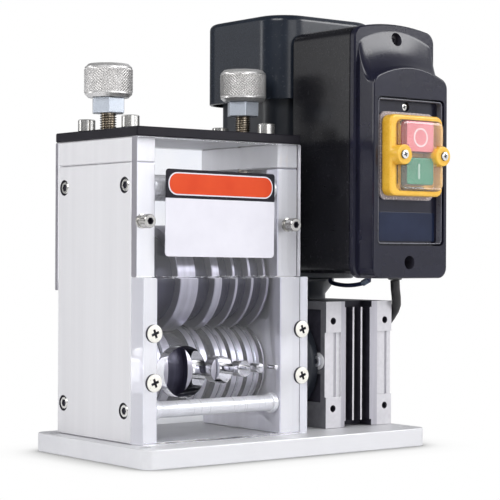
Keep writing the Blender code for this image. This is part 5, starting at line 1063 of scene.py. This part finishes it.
def motor():
    rows = [(6.4, 0), (31, 0), (31, 4), (38, 13.4), (38, 16.1), (37.7, 16.4), (6.4, 16.4)]
    adapter = lathe("motor_bell", rows, (DRIVE_X, MOTOR_Y, 112.6), UPWARD, 96, BLACK_PAINT,
        closed=True)
    put(adapter, "black_paint", "motor_adapter")
    low, high = node_box("motor_body")
    bottom = low.z
    top = 277.3
    sections = [(square(91, 24, 2.0), bottom), (square(91, 24, 0.6), bottom + 0.6),
        (square(91, 24), bottom + 2.0), (square(91, 24), top)]
    body = loft("motor_case", sections, BLACK_PAINT, plane="XY")
    even_normals(body)
    put(body, "black_paint", "motor_body")
    low, high = node_box("fan_cover")
    top = high.z
    rim = 5.0
    sections = [(square(108, 26, 0.6), low.z), (square(108, 26), low.z + 0.6)]
    for index in range(7):
        turn = pi / 2 * index / 6
        inset = rim * (1 - cos(turn))
        sections.append((square(108, 26, inset), top - rim + rim * sin(turn)))
    cover = loft("fan_hood", sections, BLACK_GLOSS, plane="XY", angle=50)
    inner = rectangle(DRIVE_X, MOTOR_Y, 102.8, 102.8, 23.4, 10)
    cut(cover, inner, low.z - 5, top - 3.6, "XY", BLACK_GLOSS)
    for index in range(7):
        across = 34.2 * (2 * index / 6 - 1)
        half = sqrt(38.0 ** 2 - across ** 2)
        slot = rectangle(DRIVE_X + across, MOTOR_Y, 3.0, 2 * half, 1.45, 6)
        cut(cover, slot, top - 10, top + 5, "XY", BLACK_GLOSS)
    settle(cover, 40)
    put(cover, "black_plastic", "fan_cover")


LEAD_ROUTE = (
    (107.0, -36.0, 133.4), (107.0, -35.0, 129.6), (107.0, -29.0, 126.4), (106.8, -19.0, 124.6),
    (106.5, -8.0, 124.0), (106.3, 3.0, 124.8), (106.2, 9.6, 126.2), (106.2, 11.2, 128.3),
)


def motor_lead():
    lead = curve_tube("motor_lead_run", smooth_route(LEAD_ROUTE, 2.0), 1.7, LEAD_BLUE)
    put(lead, "blue_lead", "motor_lead")
    sleeve = rod("lead_joint", (107.0, -34.6, 129.0), (107.0, -28.0, 126.2), 2.5, 24, LEAD_SLEEVE)
    put(sleeve, "clear_silicone")


# Switch box

def arched(half, bottom, side_top, rise, radius, parts=12, steps=8):
    corners = [(DRIVE_X - half, bottom, radius), (DRIVE_X + half, bottom, radius),
        (DRIVE_X + half, side_top, radius)]
    for part in range(1, parts):
        across = 1 - 2 * part / parts
        corners.append((DRIVE_X + half * across, side_top + rise * (1 - across * across), 0))
    corners.append((DRIVE_X - half, side_top, radius))
    return rounded_outline(corners, steps)


def switch_box():
    sections = [(arched(42, 134, 320, 5, 9), -73.0), (arched(42, 134, 320, 5, 9), -7.5),
        (arched(41.3, 134.7, 319.3, 5, 8.3), -5.7), (arched(39.5, 136.5, 317.5, 5, 6.5), -5.0)]
    case = loft("box_case", sections, BOX_BLACK)
    even_normals(case)
    put(case, "black_plastic", "switch_box")
    neck = box("box_neck", (DRIVE_X - 30, -7, 150), (DRIVE_X + 30, 4.2, 256), BLACK_GLOSS, edge=1.5)
    put(neck, "black_plastic")


LID_FRONT = -96.7
FLANGE_FRONT = -78.3
RECESS_FLOOR = -90.2
COVE_PARTS = (-0.12, -0.04, 0.0, 0.03, 0.06, 0.1, 0.14, 0.19, 0.25, 0.32, 0.4, 0.5, 0.6, 0.7, 0.8,
    0.9, 1.0)
COVE_RISE = 29.0


def lid_section(y, inset, drop):
    return arched(38 - inset, 131 + inset, 281.5 + drop - inset, 9.5, 8), y


def switch_box_lid():
    sections = [(arched(40.3, 132.2, 318.8, 5, 8), FLANGE_FRONT),
        (arched(41.5, 131, 320, 5, 9), FLANGE_FRONT + 1.2), (arched(41.5, 131, 320, 5, 9), -73.3)]
    flange = loft("lid_rim", sections, LID_GLOSS)
    depth = 18.4 - 1.2
    rows = []
    for part in COVE_PARTS:
        cove = (1 - max(part, 0.0)) ** 3
        rows.append(lid_section(FLANGE_FRONT - depth * part, 0.0, COVE_RISE * cove))
    rows.append(lid_section(LID_FRONT + 0.7, 0.15, 0.0))
    rows.append(lid_section(LID_FRONT + 0.25, 0.6, 0.0))
    rows.append(lid_section(LID_FRONT, 1.3, 0.0))
    lid = loft("lid_panel", rows, LID_GLOSS)
    boolean(lid, flange, operation="UNION")
    recess = rectangle(DRIVE_X, 211.6, 69, 111.8, 4)
    cut(lid, recess, LID_FRONT - 5, RECESS_FLOOR, "XZ", LID_GLOSS)
    # The screw holes are lined with near-black painted shade.
    for x, z, front, back in ((DRIVE_X, 313.5, LID_FRONT, FLANGE_FRONT + 4),
            (DRIVE_X - 1.6, 143.0, LID_FRONT - 2, LID_FRONT + 12)):
        cut(lid, circle(x, z, 5.2, 40), front, back, "XZ", HOLLOW_SHADE)
        screw = pan_screw(f"lid_screw_{round(z)}", (x, back, z), TO_FRONT, 3.6, 1.8, TOP_PAINT)
        put(screw, "black_paint")
    # The recess screw's hole is lined with near-black painted shade.
    cut(lid, circle(DRIVE_X, 261.2, 3.7, 32), RECESS_FLOOR - 2, RECESS_FLOOR + 3.2, "XZ", HOLLOW_SHADE)
    screw = pan_screw("recess_screw", (DRIVE_X, RECESS_FLOOR + 3.2, 261.2), TO_FRONT, 3.0, 1.8,
        BRIGHT_NICKEL)
    put(screw, "bright_nickel")
    bevel(lid, 0.3, 2, 35)
    put(lid, "black_plastic", "switch_box_lid")
    # The bead is lighter grey than the lid as a painted highlight.
    bead = prism("recess_bead", rectangle(DRIVE_X, 211.6, 66.4, 109.2, 3.2), LID_FRONT + 1.0,
        RECESS_FLOOR, "XZ", BEAD_HIGHLIGHT)
    cut(bead, rectangle(DRIVE_X, 211.6, 64.8, 107.6, 2.5), LID_FRONT - 5, RECESS_FLOOR + 2, "XZ",
        BEAD_HIGHLIGHT)
    bevel(bead, 0.3, 2, 35)
    put(bead, "black_plastic")
    label = prism("blank_label_plate", rectangle(DRIVE_X + 1.2, 170.1, 57.5, 22.0, 1.0),
        RECESS_FLOOR - 0.5, RECESS_FLOOR, "XZ", BLANK_LABEL, edge=0.2)
    put(label, "black_plastic")


FRAME_X = DRIVE_X - 0.7
KEY_FRONT = -106.2


def switch():
    gasket = prism("switch_skirt", rectangle(FRAME_X, SWITCH_Z, 56, 66.4, 6), -92.8, -90.5, "XZ",
        GASKET, edge=0.7, segments=3)
    put(gasket, "clear_silicone", "switch_gasket")
    gasket.visible_shadow = False
    body = prism("switch_bezel", rectangle(FRAME_X, SWITCH_Z, 54.6, 61, 6), -103.4, -93.1, "XZ",
        YELLOW, edge=1.8, segments=5)
    cut(body, rectangle(DRIVE_X + 0.6, SWITCH_Z, 46.4, 54.0, 6), -106, -96.3, "XZ", YELLOW)
    for side in (-1, 1):
        lug = prism("lug", circle(FRAME_X + side * 19.9, SWITCH_Z, 7.5, 48), -111.6, -94, "XZ",
            YELLOW, edge=0.9, segments=3)
        boolean(body, lug, operation="UNION")
    for z in (237.7, 211.75):
        height = 23.6 if z > SWITCH_Z else 21.1
        cut(body, rectangle(DRIVE_X, z, 28.6, height, 2), -103, -92, "XZ", YELLOW)
    settle(body)
    put(body, "yellow_plastic", "switch_frame")
    for number, side in enumerate((-1, 1), 1):
        screw = pan_screw(f"lug_screw_{number}", (FRAME_X + side * 20.6, -111.6, SWITCH_Z),
            TO_FRONT, 3.3, 1.5, BRIGHT_NICKEL)
        put(screw, "bright_nickel")
    for name, node, color, front, slot, z, height in (
            ("stop_key", "stop_button", RED_SHADED_SIDES, RED_LIT_FACE, "red_plastic", 237.7, 23.0),
            ("start_key", "start_button", GREEN_SHADED_SIDES, GREEN_LIT_FACE, "green_plastic", 211.75, 20.5)):
        body_name = "stop_push" if name == "stop_key" else "start_push"
        key = prism(name, rectangle(DRIVE_X, z, 28, height, 2.4), KEY_FRONT, -90.1, "XZ", color,
            front, edge=1.0, segments=4)
        # The front face takes the lighter copy and the other faces the darker one: painted light
        # and shade.
        for face in key.data.polygons:
            face.material_index = 1 if face.normal.y < -0.6 else 0
        put(key, slot, node, body=body_name)
    ring = prism("stop_mark", circle(DRIVE_X, 237.1, 7.3, 48), KEY_FRONT - 0.3, KEY_FRONT + 0.2,
        "XZ", MARK_PINK)
    cut(ring, circle(DRIVE_X, 237.1, 5.9, 48), -112, -100, "XZ", MARK_PINK)
    shade(ring)
    put(ring, "clear_silicone", body="stop_push")
    bar = prism("start_mark", rectangle(DRIVE_X - 1.6, 211.5, 1.8, 11.6, 0.6), KEY_FRONT - 0.3,
        KEY_FRONT + 0.2, "XZ", MARK_GREEN, edge=0.1)
    put(bar, "clear_silicone", body="start_push")
    boot = prism("clear_boot", rectangle(DRIVE_X + 0.6, SWITCH_Z, 45.8, 53.4, 5.8), -108.6, -96.9,
        "XZ", SILICONE, edge=3.4, segments=6)
    cut(boot, rectangle(DRIVE_X + 0.6, SWITCH_Z, 43.8, 51.4, 4.8), -107.7, -90, "XZ", SILICONE)
    for side in (-1, 1):
        low, high = sorted((DRIVE_X + side * 30, DRIVE_X + side * 14.4))
        cut_box(boot, (low, -115, SWITCH_Z - 7.9), (high, -90, SWITCH_Z + 7.9), SILICONE)
    settle(boot)
    clear_of_light(boot)
    put(boot, "clear_silicone", "switch_boot")


# Covers' screws and the blank sign

def cover_screws():
    front = -54.7
    for number, (x, z) in enumerate(((-114.3, 92.8), (-114.3, 58.2), (20.0, 92.8), (20.0, 58.2)),
            1):
        screw = pan_screw(f"guide_screw_{number}", (x, front, z), TO_FRONT, 6.4, 2.9, HEAD_NICKEL)
        put(screw, "bright_nickel")
    for number, (x, z) in enumerate(((-118.3, 171.7), (13.9, 170.9)), 1):
        collar = lathe(f"cover_washer_{number}", [(0, 3.6), (4.3, 3.6), (4.3, 1.8), (5.2, 1.6),
            (5.2, 0), (0, 0)], (x, COVER_FRONT, z), TO_FRONT, 40, COVER_NICKEL)
        put(collar, "bright_nickel")
        head = socket_screw(f"cover_screw_{number}", (x, -49.3, z), TO_FRONT, 5.0, 7.4, 2.7,
            COVER_NICKEL)
        put(head, "bright_nickel")


def sign():
    """A blank plate: a dark head with an empty bar over a pale field."""
    back = COVER_FRONT
    low_x, high_x, low_z, high_z = -98.0, 1.1, 146.5, 209.0
    middle = Vector(((low_x + high_x) / 2, back, (low_z + high_z) / 2)) * MM
    split = 188.2
    tilt = (Matrix.Translation(middle) @ Matrix.Rotation(radians(0.6), 4, "Y") @
        Matrix.Translation(-middle))
    pale = rounded_outline([(low_x, low_z, 3), (high_x, low_z, 3), (high_x, split, 0),
        (low_x, split, 0)])
    dark = rounded_outline([(low_x, split, 0), (high_x, split, 0), (high_x, high_z, 2.4),
        (low_x, high_z, 2.4)])
    bar_x, bar_z = middle.x / MM, (split + high_z) / 2
    for name, outline, depth, material, slot in (
            ("sign_field", pale, 0.7, SIGN_WHITE, "clear_silicone"),
            ("sign_head", dark, 0.7, SIGN_BLACK, "black_paint"),
            ("sign_bar_rim", rectangle(bar_x, bar_z, 95.2, 16.4, 7.6), 0.85, SIGN_WHITE,
             "clear_silicone"),
            ("sign_bar", rectangle(bar_x, bar_z, 93.4, 14.6, 6.9), 1.0, SIGN_ORANGE,
             "red_plastic")):
        piece = prism(name, outline, back - depth, back, "XZ", material)
        piece.data.transform(tilt)
        put(piece, slot)


# Finishes of the pieces that keep their CAD shape

def plain_nodes():
    for node in ("lower_left_bearing", "lower_right_bearing", "upper_left_bearing",
            "upper_right_bearing"):
        shade(paint_node(node, ROD_METAL), 30)
    paint_node("worm_wheel", WORM_METAL)
    paint_node("motor_rotor", DARK_STEEL_AND_SHADE)
    paint_node("cooling_fan", BLACK_GLOSS)
    for side, sign_x in SIDES.items():
        plate = dressed(f"{side}_plate", f"{side}_side_plate", "frame", "satin_aluminium",
            PLATE_METAL, 0.3)
        outer = -122.5 if side == "left" else 27.5
        for _, y, z, _, _ in TIE_RODS:
            boolean(plate, rod("bore", (outer + sign_x * 4, y, z),
                (outer - sign_x * SUNK_DEPTH, y, z), SUNK_BORE, 48, PLATE_METAL))
        # The faces away from the outer face take the darker copy: painted shade.
        plate.data.materials.append(PLATE_INNER_SHADE)
        inner = len(plate.data.materials) - 1
        for face in plate.data.polygons:
            reach = face.center.x * sign_x < (outer - sign_x * 4) * sign_x * MM
            if reach and face.normal.y > -0.9:
                face.material_index = inner
        settle(plate, 30)
        dressed(f"{side}_bar", f"{side}_cap_bar", "frame", "satin_aluminium", PLATE_METAL, 0.8)
        dressed(f"{side}_slide_block", f"{side}_bearing_block", "carriage", "satin_aluminium",
            BLOCK_METAL, 0.4)
    top = dressed("head_top", "top_plate", "frame", "black_paint", TOP_PAINT, 0.4)
    top.data.materials.append(PLATE_METAL)
    for face in top.data.polygons:
        face.material_index = 1 if face.normal.z < -0.9 else 0


# Floor and light

def add_area(name, place, aim, size, power, color=(1, 1, 1)):
    data = bpy.data.lights.new(name, "AREA")
    data.shape = "RECTANGLE"
    data.size, data.size_y = size
    data.energy = power
    data.color = color
    lamp = bpy.data.objects.new(name, data)
    lamp.location = place
    lamp.rotation_euler = (Vector(aim) - Vector(place)).to_track_quat("-Z", "Y").to_euler()
    SCENE.collection.objects.link(lamp)
    return lamp


def add_floor():
    """White ground that only darkens close under the part: a contact shadow painted from ambient
    occlusion into its glow for the camera.
    """
    mesh = bpy.data.meshes.new("floor")
    reach = 6.0
    mesh.from_pydata([(-reach, -reach, 0), (reach, -reach, 0), (reach, reach, 0),
        (-reach, reach, 0)], [], [(0, 1, 2, 3)])
    ground = bpy.data.objects.new("floor", mesh)
    SCENE.collection.objects.link(ground)
    material, tree, shader = shader_tree("floor_white")
    shader.inputs["Base Color"].default_value = (0.9, 0.9, 0.91, 1)
    shader.inputs["Roughness"].default_value = 0.6
    shader.inputs["Specular IOR Level"].default_value = 0.2
    near = add_node(tree, "AmbientOcclusion", {"Distance": 0.045}, samples=16)
    glow = add_node(tree, "Emission", links={"Strength":
        ranged(tree, near.outputs["AO"], 0.36, 1.0, 0.5, 0.97)})
    seen = add_node(tree, "LightPath").outputs["Is Camera Ray"]
    blend = add_node(tree, "MixShader", links={"Fac": seen, 1: shader.outputs["BSDF"], 2:
        glow.outputs["Emission"]})
    tree.links.new(blend.outputs["Shader"], tree.nodes["Material Output"].inputs["Surface"])
    mesh.materials.append(material)


def add_world():
    """White behind the part, dim overhead and to the left in reflections."""
    world = bpy.data.worlds.new("studio")
    SCENE.world = world
    world.use_nodes = True
    tree = world.node_tree
    tree.nodes.clear()
    place = add_node(tree, "TexCoord")
    path = add_node(tree, "LightPath")
    dot = add_node(tree, "VectorMath", {1: Vector((0.8, -0.4, -0.75)).normalized()},
        {0: place.outputs["Generated"]}, operation="DOT_PRODUCT")
    bright = ranged(tree, dot.outputs["Value"], 0.1, 1.0, -0.35, 0.6)
    glossy = add_node(tree, "Background", {"Color": (0.95, 0.96, 1.0, 1)}, {"Strength": bright})
    plain = add_node(tree, "Background", {"Color": (1, 1, 1, 1), "Strength": 1.0})
    soft = add_node(tree, "Background", {"Color": (0.97, 0.98, 1.0, 1), "Strength": 0.5})
    seen = add_node(tree, "Math", links={0: path.outputs["Is Camera Ray"], 1:
        path.outputs["Is Transmission Ray"]}, operation="MAXIMUM")
    first = add_node(tree, "MixShader", links={
        "Fac": path.outputs["Is Glossy Ray"], 1: soft.outputs["Background"],
        2: glossy.outputs["Background"]})
    second = add_node(tree, "MixShader", links={
        "Fac": seen.outputs["Value"], 1: first.outputs["Shader"], 2: plain.outputs["Background"]})
    add_node(tree, "OutputWorld", links={"Surface": second.outputs["Shader"]})


SCENE.view_settings.view_transform = "Standard"
add_camera()
add_world()
add_floor()
add_area("left", (-1.5, -0.65, 1.3), (0.0, 0.0, 0.15), (1.1, 0.9), 20)
add_area("key", (1.3, -1.45, 1.05), (0.03, 0.0, 0.2), (1.0, 0.8), 20)
add_area("front", (-0.3, -1.9, 0.5), (0.03, 0.0, 0.15), (1.0, 1.0), 5)
add_area("strip", (-1.4, 1.12, 0.45), (0.05, 0.0, 0.25), (0.25, 1.1), 4)
add_area("back", (-1.15, 1.6, 0.8), (0.05, 0.0, 0.2), (0.8, 0.9), 1.2)

cord, cord_length = power_cord()
plug_pieces = power_plug()
gland = cable_gland()
base_plate()
tie_rods()
covers()
rollers()
adjusters()
cap_screws()
gearbox()
motor()
motor_lead()
switch_box()
switch_box_lid()
switch()
cover_screws()
sign()
plain_nodes()
